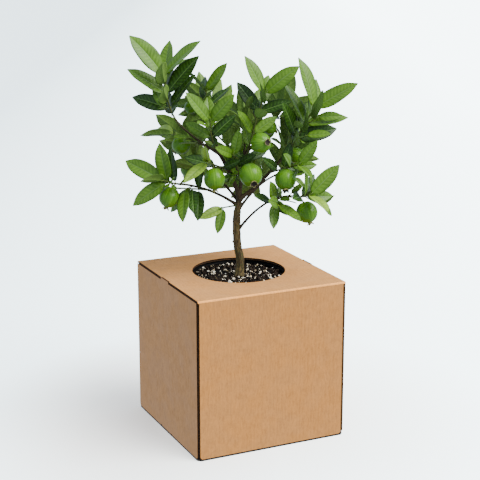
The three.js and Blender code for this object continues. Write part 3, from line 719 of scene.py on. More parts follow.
# Each bud or scar on the trunk: the share of the way up, its angle, its length and its radius
KNOBS = [(0.425, 172, 2.6, 1.6), (0.62, 320, 1.8, 1.4), (0.8, 30, 2.2, 1.3), (0.47, 60, 1.5, 1.2)]
KNOB_YOUTH = 0.2
BOUGH_SIDES = 20
BOUGH_RINGS = 64
BOUGH_RELIEF = 0.4
COLLAR_LENGTH = 5.5
COLLAR_SWELL = 0.6
SCAR_SPACING = 17
SCAR_SIZE = (0.22, 1.1)
TWIG_SIDES = 8
TWIG_RINGS = 14
# Noise of the bark's plates and of the grooves between: width, length and octaves
PLATES = (2.4, 15, 4)
GROOVES = (7, 9, 2)

# Fruit as it is seen: counts and shares of its radius
FRUIT_SIDES = 42
FRUIT_RINGS = 26
FRUIT_RIBS = 7
FRUIT_LUMP = 0.012
FRUIT_PEAR = 0.035
DIMPLE_DEPTH = 0.07
DIMPLE_WIDTH = 0.32
STALK_POLE = 0.96
FRUIT_SHIFT = 7
SEPALS = 5
SEPAL_POINT = 1.6
# Rings of the dried flower, up its outside and down into its mouth: how far out and how wide each
# ring lies, and how much farther out and wider its five lobes reach
CALYX_STEPS = [
    (0.92, 0.24, 0, 0), (1.03, 0.22, 0, 0), (1.07, 0.22, 0, 0), (1.12, 0.27, 0.04, 0.03),
    (1.16, 0.29, 0.13, 0.09), (1.15, 0.25, 0.11, 0.06), (1.08, 0.19, 0.01, 0), (1.05, 0.12, 0, 0)]
CALYX_POLES = (0.9, 1.045)
MOUTH_STEP = 5

# Pot and mix, in metres; the fine lumps' height is a share of the coarse ones'
POT_SIDES = 128
POT_RADII = (0.06, 0.0762)
POT_FLOOR = 0.002
SOFT_EDGE = 0.0009
MIX_RINGS = 46
MIX_FOOT = 0.0584
MIX_ROUGHNESS = 0.0016
MIX_EDGE = (0.058, 0.0015)
LUMP_SIZES = (0.011, 0.0032)
FINE_LUMPS = 0.45
MOUND_HEIGHT = 0.0022
MOUND_SPREAD = 0.0002

# Box, in millimetres; the shrinks are shares, and points closer than WELD metres are one
BOARD = 3
FLUTING_PAPER = 0.25
HOLE_CENTRE = (3, 6)
HOLE_RADIUS = 72.5
HOLE_SIDES = 96
TOP_TAB_WIDTH = 30
BOTTOM_TAB_WIDTH = 40
TAB_PLACE = 3
CORNER_WEAR = 5
FOOT_GAP = 3
LIP_DEPTH = 0.3
LIP_INSET = 0.4
FOLD_STEPS = 8
FLUTING_SHRINK = 0.012
FLOOR_SHRINK = 0.002
FLUTING_CLEARANCE = 0.001
WELD = 1e-6

# Shades of the fluting and the kraft: painted shade in shade, raw tone and painted shade at cut edges, a
# painted highlight at folds
# Painted deep shade: the fluting of the lip under the floor board, darkened where only shade falls
PAINTED_DEEP_SHADE = 0.16
# Cut edges: darker partly as the raw edge's own tone and partly as painted shade
CUT_EDGE_TONE_AND_PAINTED_SHADE = 0.3
# Folds: paler, as a painted highlight along the lid's folds
FOLD_PAINTED_HIGHLIGHT = 2.0
FIBRE_WAYS = {"X": (1, 1, 5), "Y": (1, 1, 5), "Z": (1, 5, 1)}

# Stage: the floor in metres, the sensor in millimetres
KEY_WAY = (0.5, -0.62, 0.8)
SKY = "#d3e4fb"
# Painted warm light thrown back from the kraft onto the floor near the box
PAINTED_KRAFT_BOUNCE = "#f0e6da"
FLOOR_RADIUS = 400
FLOOR_DEPTH = 0.01
FLOOR_SIDES = 96
SENSOR = 36


def linear(hexed):
    """An sRGB hex colour as linear red, green, blue and alpha."""
    parts = [int(hexed[i:i + 2], 16) / 255 for i in (1, 3, 5)]
    return tuple(c / 12.92 if c <= 0.04045 else ((c + 0.055) / 1.055) ** 2.4 for c in parts) + (1.0,)


def shaded(colour, factor=1.0):
    """A linear colour with its alpha, made darker or paler by a factor."""
    return tuple(min(c * factor, 1) for c in colour[:3]) + (1.0,)


def connect(tree, node, inputs):
    """Gives each input a value, or links it to a socket, a node's first shown output or a list of them."""
    for key, given in inputs.items():
        for value in given if isinstance(given, list) else [given]:
            if isinstance(value, bpy.types.Node):
                value = next(socket for socket in value.outputs if socket.enabled)
            if isinstance(value, bpy.types.NodeSocket):
                tree.links.new(value, node.inputs[key])
            else:
                node.inputs[key].default_value = value


def add_node(tree, kind, inputs=None, stops=(), **settings):
    """Adds a node with its settings, its inputs and the stops of its colour ramp.

    Inputs 0, 6 and 7 of a Mix node are its factor and its two colours. Inputs 0 to 4 of a Map Range
    node are the value, the range that it comes from and the range that it is brought to.
    """
    node = tree.nodes.new(kind)
    for key, value in settings.items():
        setattr(node, key, value)
    if stops:
        elements = node.color_ramp.elements
        while len(elements) < len(stops):
            elements.new(0.5)
        for element, (place, colour) in zip(elements, stops):
            element.position, element.color = place, colour
    connect(tree, node, inputs or {})
    return node


def start_material(name, attribute=""):
    """A new material, its tree, and where a point lies: on the object, or by an attribute."""
    material = bpy.data.materials.new(name)
    material.use_nodes = True
    tree = material.node_tree
    tree.nodes.clear()
    if attribute:
        place = add_node(tree, "ShaderNodeAttribute", attribute_name=attribute).outputs["Vector"]
    else:
        place = add_node(tree, "ShaderNodeTexCoord").outputs["Object"]
    return material, tree, place


def finish_material(material, tone, roughness, specular=0.5, height=None, depth=0.0, **others):
    """Adds the shader with its colour and gloss, a relief that is depth metres high, and its output."""
    tree = material.node_tree
    inputs = {"Base Color": tone, "Roughness": roughness, "Specular IOR Level": specular}
    inputs.update({name.replace("_", " "): value for name, value in others.items()})
    if height:
        inputs["Normal"] = add_node(tree, "ShaderNodeBump", {"Height": height, "Distance": depth})
    shader = add_node(tree, "ShaderNodeBsdfPrincipled", inputs)
    add_node(tree, "ShaderNodeOutputMaterial", {"Surface": shader})
    return material


def pattern(tree, place, size, detail=4.0, stretch=(1, 1, 1), roughness=0.55):
    """Noise whose grains are size metres wide, stretched along each direction by a factor."""
    scale = tuple(1 / (size * factor) for factor in stretch)
    mapped = add_node(tree, "ShaderNodeMapping", {"Vector": place, "Scale": scale})
    return add_node(tree, "ShaderNodeTexNoise", {
        "Vector": mapped, "Scale": 1.0, "Detail": detail, "Roughness": roughness})


def layered(tree, *layers):
    """Patterns laid over each other: each layer's share, its pattern and the colours along it."""
    tone = None
    for share, grain, stops in layers:
        layer = add_node(tree, "ShaderNodeValToRGB", {"Fac": grain}, stops)
        if tone:
            layer = add_node(tree, "ShaderNodeMix", {0: share, 6: tone, 7: layer}, data_type="RGBA")
        tone = layer
    return tone


def kraft_board(name, colour, pitch, across):
    """Kraft liner, paper glued over flutes: matt, fibrous, and faintly striped where a flute lies."""
    material, tree, place = start_material(name)
    dark, pale = shaded(colour, 0.66), shaded(colour, 1.27)
    red, green, blue = colour[:3]
    warm = (red, green * 0.93, blue * 0.72, 1)
    cool = (red * 0.98, green * 1.03, blue * 1.3, 1)
    fibres = pattern(tree, place, 2.2 * MM, 4, FIBRE_WAYS[across], 0.7)
    clouds = pattern(tree, place, 12 * MM, 3)
    specks = pattern(tree, place, 3.4 * MM, 3, roughness=0.8)
    mottle = pattern(tree, place, 35 * MM, 2)
    tone = layered(
        tree, (1, fibres, [(0.38, dark), (0.5, colour), (0.62, pale)]),
        (0.35, clouds, [(0.36, dark), (0.5, colour), (0.64, pale)]),
        (0.3, specks, [(0.38, dark), (0.46, colour), (0.62, pale)]),
        (0.3, mottle, [(0.4, warm), (0.6, cool)]))
    split = add_node(tree, "ShaderNodeSeparateXYZ", {0: place})
    wander = pattern(tree, place, 30 * MM, 2)
    drift = add_node(tree, "ShaderNodeMath", {0: wander, 1: 9.0}, operation="MULTIPLY")
    turn = add_node(tree, "ShaderNodeMath", {
        0: split.outputs[across], 1: math.tau / pitch, 2: drift}, operation="MULTIPLY_ADD")
    wave = add_node(tree, "ShaderNodeMath", {0: turn}, operation="SINE")
    stripe = add_node(tree, "ShaderNodeMapRange", {0: wave, 1: -1, 2: 1, 3: 0, 4: 1})
    uneven = pattern(tree, place, 20 * MM, 2)
    weight = add_node(tree, "ShaderNodeMapRange", {0: uneven, 1: 0.35, 2: 0.65, 3: 0.04, 4: 0.3})
    share = add_node(tree, "ShaderNodeMath", {0: stripe, 1: weight}, operation="MULTIPLY")
    tone = add_node(tree, "ShaderNodeMix", {0: share, 6: tone, 7: shaded(colour, 1.22)}, data_type="RGBA")
    height = add_node(tree, "ShaderNodeMix", {0: 0.5, 6: stripe, 7: fibres}, data_type="RGBA")
    return finish_material(material, tone, 0.86, 0.25, height, 0.12 * MM)


def fluted_paper(name, colour):
    """Raw fluting paper: rough, and darker than the liners as painted shade, for it sits in their shade."""
    material, tree, place = start_material(name)
    fibres = pattern(tree, place, 1.5 * MM, 4, roughness=0.7)
    tone = layered(tree, (1, fibres, [(0.3, shaded(colour, 0.6)), (0.7, colour)]))
    return finish_material(material, tone, 0.95, height=fibres, depth=0.08 * MM)


def pot_plastic(colour):
    """Thermoformed black polypropylene: satin, with a faint orange-peel skin and dust in patches."""
    material, tree, place = start_material("black_polypropylene")
    skin = pattern(tree, place, 1.2 * MM, 3)
    dust = pattern(tree, place, 18 * MM, 4)
    dusty = tuple(c * 2.2 + 0.004 for c in colour[:3]) + (1,)
    tone = layered(tree, (1, dust, [(0.45, colour), (0.75, dusty)]))
    gloss = add_node(tree, "ShaderNodeMapRange", {0: dust, 1: 0.3, 2: 0.7, 3: 0.42, 4: 0.6})
    return finish_material(material, tone, gloss, 0.06, skin, 0.06 * MM)


def peat(name, dark_hex, pale_hex, size):
    """Damp peat and composted bark: crumbly, nearly black, with brown crumbs that catch the light."""
    material, tree, place = start_material(name)
    crumbs = pattern(tree, place, size, 8, roughness=0.75)
    dark, pale = linear(dark_hex), linear(pale_hex)
    tone = layered(tree, (1, crumbs, [(0.3, dark), (0.55, dark), (0.8, pale)]))
    return finish_material(material, tone, 0.92, 0.1, crumbs, size / 2)


def perlite(white_hex, stained_hex):
    """Expanded perlite: white volcanic glass foam, chalky, pitted and stained by the peat."""
    material, tree, place = start_material("expanded_perlite")
    pits = pattern(tree, place, 0.8 * MM, 4, roughness=0.7)
    stains = pattern(tree, place, 6 * MM, 3)
    tone = layered(tree, (1, stains, [(0.42, linear(white_hex)), (0.64, linear(stained_hex))]))
    return finish_material(material, tone, 0.85, height=pits, depth=0.3 * MM)


def bark(mid, dark_hex, pale_hex, film_hex, bough_hex, shoot_hex):
    """Guava bark: smooth tan and olive plates streaked along the stem, dark on boughs, green on shoots."""
    material, tree, place = start_material("guava_bark", "bark_place")
    age = add_node(tree, "ShaderNodeAttribute", attribute_name="youth").outputs["Fac"]
    streaks = pattern(tree, place, 1.1 * MM, 6, (1, 1, 9), 0.65)
    plates = pattern(tree, place, 3.6 * MM, 3, (1, 1, 3.2))
    film = pattern(tree, place, 7 * MM, 3)
    dark, pale, bough, shoot = (linear(hexed) for hexed in (dark_hex, pale_hex, bough_hex, shoot_hex))
    tone = layered(
        tree, (1, streaks, [(0.4, dark), (0.47, mid), (0.53, mid), (0.6, pale)]),
        (0.45, plates, [(0.4, dark), (0.5, mid), (0.6, pale)]))
    bough = layered(tree, (1, streaks, [(0.35, shaded(bough, 0.5)), (0.65, bough)]))
    shoot = layered(tree, (1, streaks, [(0.3, shaded(shoot, 0.75)), (0.7, shoot)]))
    for grain, reach, over in ((film, (0.48, 0.68, 0.0, 0.5), linear(film_hex)),
                               (age, (0.0, 0.5, 0.0, 1.0), bough), (age, (0.5, 1.0, 0.0, 1.0), shoot)):
        share = add_node(tree, "ShaderNodeMapRange", {0: grain, **dict(enumerate(reach, 1))})
        tone = add_node(tree, "ShaderNodeMix", {0: share, 6: tone, 7: over}, data_type="RGBA")
    return finish_material(material, tone, 0.78, 0.3, streaks, 0.5 * MM)


def leaf_side(name, colour, vein_hex, gloss, coat, veins):
    """One side of a leathery guava leaf: waxy above, dull below, its side veins paler than the blade."""
    material, tree, place = start_material(name)
    vein = add_node(tree, "ShaderNodeAttribute", attribute_name="vein").outputs["Fac"]
    clouds = pattern(tree, place, 11 * MM, 3)
    grain = pattern(tree, place, 0.9 * MM, 3)
    tone = layered(tree, (1, clouds, [(0.4, shaded(colour, 0.74)), (0.6, colour)]))
    share = add_node(tree, "ShaderNodeMath", {0: vein, 1: veins}, operation="MULTIPLY")
    tone = add_node(tree, "ShaderNodeMix", {0: share, 6: tone, 7: linear(vein_hex)}, data_type="RGBA")
    rough = add_node(tree, "ShaderNodeMapRange", {
        0: clouds, 1: 0.3, 2: 0.7, 3: gloss - 0.05, 4: gloss + 0.08})
    return finish_material(material, tone, rough, 0.17, grain, 0.06 * MM, Coat_Weight=coat,
                           Coat_Roughness=0.4)


def plain_fibre(name, hexed, roughness):
    """Petioles, midribs and dried flowers: fibrous, of one colour and hardly waxy."""
    material, tree, place = start_material(name)
    fibre = pattern(tree, place, 2 * MM, 3)
    colour = linear(hexed)
    tone = layered(tree, (1, fibre, [(0.35, shaded(colour, 0.75)), (0.65, colour)]))
    return finish_material(material, tone, roughness)


def fruit_skin(colour, streak_hex, pale_hex):
    """Skin of an unripe guava: waxy bright green, streaked from the stalk to the flower end."""
    material, tree, round_ = start_material("guava_skin", "fruit_place")
    place = add_node(tree, "ShaderNodeTexCoord").outputs["Object"]
    streaks = pattern(tree, round_, 0.1, 3, (1, 1, 26))
    patches = pattern(tree, round_, 0.6, 3)
    dots = pattern(tree, place, 1.1 * MM, 2)
    dark, pale = linear(streak_hex), linear(pale_hex)
    tone = layered(
        tree, (1, streaks, [(0.36, dark), (0.47, colour), (0.53, colour), (0.66, pale)]),
        (0.2, patches, [(0.4, dark), (0.6, pale)]))
    gloss = add_node(tree, "ShaderNodeMapRange", {0: dots, 1: 0.3, 2: 0.7, 3: 0.3, 4: 0.42})
    return finish_material(material, tone, gloss, 0.16, dots, 0.07 * MM, Coat_Weight=0.12,
                           Coat_Roughness=0.22)


def matt_floor(colour, glow, azimuth):
    """A sweep of matt white paper that glows as painted light, a little more at the right of the view than
    at its left.
    """
    material, tree, place = start_material("matt_white_paper")
    right = (math.cos(azimuth), math.sin(azimuth), 0)
    across = add_node(tree, "ShaderNodeVectorMath", {0: place, 1: right}, operation="DOT_PRODUCT")
    reach = add_node(tree, "ShaderNodeVectorMath", {0: place}, operation="LENGTH")
    sideways = add_node(tree, "ShaderNodeMapRange", {0: across, 1: -1.0, 2: 1.0, 3: glow[0], 4: glow[1]})
    # Painted shadow: the glow dims near the box, most at its left
    close = add_node(tree, "ShaderNodeMapRange", {0: across, 1: -0.24, 2: 0.06, 3: 0.0, 4: 0.62})
    outward = add_node(tree, "ShaderNodeMapRange", {0: reach, 1: 0.14, 2: 0.46, 3: close, 4: 1.0})
    strength = add_node(tree, "ShaderNodeMath", {0: sideways, 1: outward}, operation="MULTIPLY")
    # Painted warm light from the kraft: the floor's colour and glow turn warm near the box
    tone = add_node(tree, "ShaderNodeMix", {
        0: outward, 6: linear(PAINTED_KRAFT_BOUNCE), 7: shaded(colour)}, data_type="RGBA")
    return finish_material(material, tone, 0.9, 0.1, Emission_Color=tone, Emission_Strength=strength)


class Stock:
    """Gathers the points, faces, material numbers and point values of one piece."""

    def __init__(self):
        self.points, self.faces, self.slots, self.values, self.count = [], [], [], {}, 0

    def add(self, points, faces, slots=0, **values):
        self.points.append(np.asarray(points, float))
        self.faces += [[corner + self.count for corner in face] for face in faces]
        self.slots += [slots] * len(faces) if isinstance(slots, int) else slots
        for key, value in values.items():
            self.values.setdefault(key, []).append(np.asarray(value, float))
        self.count += len(points)

    def triangles(self):
        return sum(len(face) - 2 for face in self.faces)

    def piece(self, name, materials, place=to_row, smooth=True):
        """Makes the piece's mesh, its points brought from the plant's space unless place says otherwise."""
        mesh = bpy.data.meshes.new(name)
        mesh.from_pydata(place(np.vstack(self.points)).tolist(), [], self.faces)
        for material in materials:
            mesh.materials.append(material)
        mesh.polygons.foreach_set("material_index", self.slots)
        mesh.polygons.foreach_set("use_smooth", [smooth] * len(self.faces))
        for key, values in self.values.items():
            whole = np.concatenate(values).astype(np.float32)
            kind, field = ("FLOAT_VECTOR", "vector") if whole.ndim == 2 else ("FLOAT", "value")
            mesh.attributes.new(key, kind, "POINT").data.foreach_set(field, whole.ravel())
        return show(mesh, name)


def show(mesh, name):
    """Links a mesh as a piece of the scene."""
    mesh.name = name
    mesh.update()
    piece = bpy.data.objects.new(name, mesh)
    bpy.context.scene.collection.objects.link(piece)
    return piece


def dress(piece, slot, *nodes):
    """Parents a piece to the root body and hides the nodes that it stands for. The slot is not used."""
    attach(piece, "root")
    if nodes:
        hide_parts(*nodes)


def as_is(points):
    return points


def angles_of(sides):
    return np.arange(sides) * math.tau / sides


def bell(distance, width):
    """A smooth rise to 1 where the distance is 0."""
    return np.exp(-(distance / width) ** 2)


def ring_faces(rings, sides):
    """Faces of rings of points from a first pole to a last one, the poles numbered after the rings."""
    faces = []
    for i in range(rings - 1):
        for j in range(sides):
            k = (j + 1) % sides
            faces.append((i * sides + j, i * sides + k, (i + 1) * sides + k, (i + 1) * sides + j))
    last = (rings - 1) * sides
    faces += [((j + 1) % sides, j, rings * sides) for j in range(sides)]
    faces += [(last + j, last + (j + 1) % sides, rings * sides + 1) for j in range(sides)]
    return faces


def tube(points, radii, sides):
    """A round limb's points, faces and straightened places, its radii one a ring or one a point."""
    points, radii = np.asarray(points, float), np.asarray(radii, float)
    if radii.ndim == 1:
        radii = np.repeat(radii[:, None], sides, axis=1)
    ways = np.gradient(points, axis=0)
    ways = ways / np.linalg.norm(ways, axis=1)[:, None]
    across = square_to(ways[0])[0]
    along = np.concatenate([[0], np.cumsum(np.linalg.norm(np.diff(points, axis=0), axis=1))])
    angles = angles_of(sides)
    ring = np.stack([np.cos(angles), np.sin(angles)], axis=1)
    places, flat = [], []
    for point, way, radius, reach in zip(points, ways, radii, along):
        across = unit(across - way * (across @ way))
        over = np.cross(way, across)
        spread = ring * radius[:, None]
        places.append(point + spread[:, :1] * across + spread[:, 1:] * over)
        flat.append(np.column_stack([spread, np.full(sides, reach)]))
    places += [points[0] - ways[0] * radii[0].mean() * 0.3, points[-1] + ways[-1] * radii[-1].mean() * 0.5]
    flat.append([[0, 0, 0], [0, 0, along[-1]]])
    return np.vstack(places), ring_faces(len(points), sides), np.vstack(flat)


def along_limb(limb, rings):
    """Shares of the way along a limb, with its points and radii there."""
    shares = np.linspace(0, 1, rings)
    points = np.array([limb.curve.point(share) for share in shares])
    return shares, points, np.array([limb.radius_at(share) for share in shares])


def fissures(flat, across, along, octaves):
    """Noise over straightened bark, drawn out along the stem."""
    places = flat * np.array([1 / across, 1 / across, 1 / along])
    return np.array([noise.fractal(Vector(place), 0.9, 2.1, octaves) for place in places])


def bark_tube(stock, points, radii, sides, youth, relief, shift=0.0):
    """A limb with the bark's relief: long plates with grooves between, deepest on the trunk."""
    _, _, flat = tube(points, radii, sides)
    rings = len(points)
    shift = np.array([0, 0, shift])
    body = flat[:rings * sides] + shift
    depth = relief * (fissures(body, *PLATES) + 0.5 * fissures(body + 40, *GROOVES))
    shaped = np.asarray(radii)[:, None] * np.ones(sides) + depth.reshape(rings, sides)
    places, faces, flat = tube(points, shaped, sides)
    youth = np.concatenate([np.repeat(youth, sides), [youth[0], youth[-1]]])
    stock.add(places, faces, bark_place=(flat + shift) * MM, youth=youth)


def knob(stock, limb, share, angle, length, radius):
    """A bud or the scar of a pruned shoot: a short blunt cone that leans up along the bark."""
    way = limb.curve.tangent(share)
    out = unit(outward_from(way, angle) + way * 0.5)
    foot = limb.curve.point(share) + out * limb.radius_at(share) * 0.93
    steps = np.linspace(-0.6, 1, 6)
    radii = radius * (1.35 - 0.75 * np.clip(steps, 0, 1) ** 2)
    places, faces, flat = tube(foot + np.outer(steps * length, out), radii, 10)
    stock.add(places, faces, bark_place=flat * MM, youth=np.full(len(places), KNOB_YOUTH))


def blade(stock, leaf, settings, upper, under, rib):
    """A leaf's blade: rows follow its side veins, which are sunk above and stand out below."""
    big = leaf.length > SMALL_LEAF
    columns = COLUMNS if big else SMALL_COLUMNS
    spacing = settings.vein_spacing / MM * (1 if big else CLOSER_VEINS)
    rows = 2 * max(FEWEST_VEINS, round(leaf.length * (1 - PETIOLE) / spacing))
    out = np.array([-c for c in reversed(columns)] + [0.0] + list(columns))
    wide = len(out)
    row, u = np.meshgrid(np.arange(rows) / rows, out, indexing="ij")
    reach = np.abs(u)
    along = row + VEIN_SWEEP * reach * row * (1 - row)
    full = (4 * along * (1 - along)) ** BLADE_FULLNESS * (1 + BLADE_LEAN * (WIDEST_AT - along))
    full *= 1 - TIP_DRAW * bell(1 - along, TIP_REACH)
    half = leaf.length * (BLADE_WIDTH * full + BLADE_FOOT * (1 - along))
    points, rise = leaf.spine(PETIOLE + (1 - PETIOLE) * along)
    fold = FOLD * (FOLD_EASE[0] - FOLD_EASE[1] * reach)
    window = np.sin(math.pi * np.clip((reach - VEIN_START) / VEIN_REACH, 0, 1) ** VEIN_BIAS)
    crest = np.where(np.arange(rows) % 2 == 1, 1.0, -1.0)[:, None]
    scale = min(leaf.length / FULL_LENGTH, 1)
    depth = settings.vein_depth / MM * scale
    phase = leaf.root @ np.array(WAVE_CHANCE)
    wave = np.sin(WAVE_TURNS * along + phase + np.sign(u) * WAVE_SHIFT) * (1 - along)
    wave *= WAVE_HEIGHT * leaf.length * reach ** 2
    height = half * reach * np.sin(fold) + crest * depth * window * full + wave
    height -= GROOVE_DEPTH * bell(u, GROOVE_WIDTH) * full
    top = points + leaf.side * (half * u * np.cos(fold))[..., None] + rise * height[..., None]
    thick = settings.leaf_thickness / MM * (1 - reach ** 2)
    thick += RIB_THICKNESS * bell(u, RIB_WIDTH) * (1 - RIB_TAPER * along) * scale
    low = (top - rise * thick[..., None])[1:, 1:-1]
    tip = leaf.spine(1.0)[0][None]
    vein = np.maximum(window * (crest < 0), bell(u, RIB_PALENESS))
    count = rows * wide + 1
    number = np.arange(rows * wide).reshape(rows, wide)
    below = number.copy()
    below[1:, 1:-1] = count + np.arange((rows - 1) * (wide - 2)).reshape(rows - 1, wide - 2)
    faces, slots = [], []
    for i in range(rows):
        for j in range(wide - 1):
            if i == rows - 1:
                faces.append((number[i, j], number[i, j + 1], count - 1))
                faces.append((below[i, j + 1], below[i, j], count - 1))
            else:
                faces.append((number[i, j], number[i, j + 1], number[i + 1, j + 1], number[i + 1, j]))
                faces.append((below[i, j + 1], below[i, j], below[i + 1, j], below[i + 1, j + 1]))
            midrib = big and j in (wide // 2 - 1, wide // 2)
            slots += [rib, rib] if midrib else [upper, under]
    places = np.vstack([top.reshape(-1, 3), tip, low.reshape(-1, 3)])
    stock.add(places, faces, slots, vein=np.concatenate([vein.ravel(), [0], vein[1:, 1:-1].ravel()]))


def petiole(stock, leaf):
    """A leaf's stalk, from inside its twig to a little way under the blade."""
    shares = np.linspace(-PETIOLE_OVERLAP[0], PETIOLE + PETIOLE_OVERLAP[1], PETIOLE_RINGS)
    points = leaf.spine(shares)[0] - leaf.normal * PETIOLE_DROP
    thick = PETIOLE_THICKNESS * math.sqrt(min(leaf.length, LONG_LENGTH) / FULL_LENGTH)
    radii = np.linspace(thick * 1.25, thick * 0.6, PETIOLE_RINGS)
    places, faces, flat = tube(points, radii, PETIOLE_SIDES)
    stock.add(places, faces, 1, bark_place=flat * MM, youth=np.ones(len(places)))


def ring_round(axis, angles):
    """Directions square to an axis at an array of turns round it."""
    across, over = square_to(axis)
    return np.cos(angles)[..., None] * across + np.sin(angles)[..., None] * over


def twig(stock, limb, rings, youth, swell):
    """A stem, shoot or stalk, which swells at its foot and at its joints."""
    shares, points, radii = along_limb(limb, rings)
    radii = radii * (1 + swell * np.exp(-shares * 8))
    for joint in np.linspace(FIRST_PAIR, 1, 5)[:-1]:
        radii = radii + swell * 0.25 * bell(shares - joint, 0.03)
    places, faces, flat = tube(points, radii, TWIG_SIDES)
    age = np.append(np.repeat(np.linspace(*youth, rings), TWIG_SIDES), youth)
    stock.add(places, faces, 0, bark_place=flat * MM, youth=age)


def fruit_body(stock, fruit, number, settings):
    """An unripe guava: a ribbed globe, dimpled at the stalk."""
    polar = np.linspace(0, math.pi, FRUIT_RINGS + 2)[1:-1, None]
    angles = angles_of(FRUIT_SIDES)[None]
    rib = settings.rib_depth * np.cos(FRUIT_RIBS * angles + number)
    rib = rib * np.sin(polar) ** 0.7 * (0.4 + polar / 4)
    lump = FRUIT_LUMP * np.cos(2 * angles + 3 * number) * np.sin(polar)
    reach = fruit.radius * (1 + rib + lump)
    radius = reach * np.sin(polar) * (1 - FRUIT_PEAR * np.cos(polar))
    depth = -reach * FRUIT_STRETCH * np.cos(polar) + fruit.radius * DIMPLE_DEPTH * bell(polar, DIMPLE_WIDTH)
    ring = ring_round(fruit.axis, angles)
    points = fruit.centre + depth[..., None] * fruit.axis + radius[..., None] * ring
    poles = [fruit.centre + fruit.axis * fruit.radius * pole for pole in (-STALK_POLE, FRUIT_STRETCH)]
    shift = number * FRUIT_SHIFT
    flat = np.stack(np.broadcast_arrays(np.cos(angles), np.sin(angles), polar + shift), -1)
    flat = np.vstack([flat.reshape(-1, 3), [[0, 0, shift], [0, 0, math.pi + shift]]])
    faces = ring_faces(FRUIT_RINGS, FRUIT_SIDES)
    stock.add(np.vstack([points.reshape(-1, 3), poles]), faces, fruit_place=flat)


def calyx(stock, fruit, number):
    """The dried flower at the fruit's end: a short ring that opens into five pointed lobes."""
    sides = SEPALS * 8
    angles = angles_of(sides) + number
    lobe = np.abs(np.cos(SEPALS * angles / 2)) ** SEPAL_POINT
    ring = ring_round(fruit.axis, angles)
    points = []
    for depth, radius, rise, spread in CALYX_STEPS:
        out = (radius + spread * lobe)[:, None] * fruit.radius
        ahead = (depth + rise * lobe)[:, None] * fruit.radius
        points.append(fruit.centre + fruit.axis * ahead + ring * out)
    poles = [fruit.centre + fruit.axis * fruit.radius * pole for pole in CALYX_POLES]
    inside = len(CALYX_STEPS) - 1 - MOUTH_STEP
    slots = [0] * MOUTH_STEP * sides + [1] * inside * sides + [0] * sides + [1] * sides
    stock.add(np.vstack(points + [poles]), ring_faces(len(CALYX_STEPS), sides), slots)


def lathe(stock, profile, middle, sides):
    """Turns a profile of radii and heights in metres, its first and last points on the axis."""
    x, y = middle[:2]
    angles = angles_of(sides)
    points = [(x + r * math.cos(a), y + r * math.sin(a), z) for r, z in profile[1:-1] for a in angles]
    points += [(x, y, profile[0][1]), (x, y, profile[-1][1])]
    stock.add(points, ring_faces(len(profile) - 2, sides))


def rounded(corner, before, after, radius, steps=5):
    """Points of a small arc that takes the place of a profile's corner."""
    corner, before, after = (np.array(p, float) for p in (corner, before, after))
    start = corner + unit(before - corner) * radius
    end = corner + unit(after - corner) * radius
    arc = Arc(start, corner, end)
    return [tuple(arc.point(i / steps)) for i in range(steps + 1)]


def softened(profile, radius):
    """A closed-ended profile with each corner but its ends rounded."""
    points = [profile[0]]
    for before, corner, after in zip(profile, profile[1:], profile[2:]):
        room = min(radius, math.dist(before, corner) / 2.1, math.dist(corner, after) / 2.1)
        points += rounded(corner, before, after, room)
    return points + [profile[-1]]


def node_box(name, measure=1.0):
    """The lowest and highest corners of a node, in metres or in another measure."""
    low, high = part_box(name)
    return np.array(low) / measure, np.array(high) / measure


def mix_height(x, y, top):
    """The uneven top of the potting mix, mounded a little round the trunk."""
    coarse, fine = (Vector((x / size, y / size, level)) for size, level in zip(LUMP_SIZES, (0, 5)))
    off = (x - TRUNK_PLACE[0] * MM) ** 2 + (y - TRUNK_PLACE[1] * MM) ** 2
    lumps = MIX_ROUGHNESS * (noise.noise(coarse) + FINE_LUMPS * noise.noise(fine))
    return top + lumps + MOUND_HEIGHT * math.exp(-off / MOUND_SPREAD)


def start_nodes(name, **inputs):
    """A new Geometry Nodes tree with one geometry output, and the sockets of its named inputs."""
    tree = bpy.data.node_groups.new(name, "GeometryNodeTree")
    for label, kind in inputs.items():
        tree.interface.new_socket(label, in_out="INPUT", socket_type="NodeSocket" + kind)
    tree.interface.new_socket("Geometry", in_out="OUTPUT", socket_type="NodeSocketGeometry")
    return tree, add_node(tree, "NodeGroupInput").outputs


def finish_nodes(tree, geometry, material):
    """Ends a tree: its instances are made real and take the material."""
    real = add_node(tree, "GeometryNodeRealizeInstances", {"Geometry": geometry})
    dyed = add_node(tree, "GeometryNodeSetMaterial", {"Geometry": real, "Material": material})
    add_node(tree, "NodeGroupOutput", {0: dyed})
    return tree


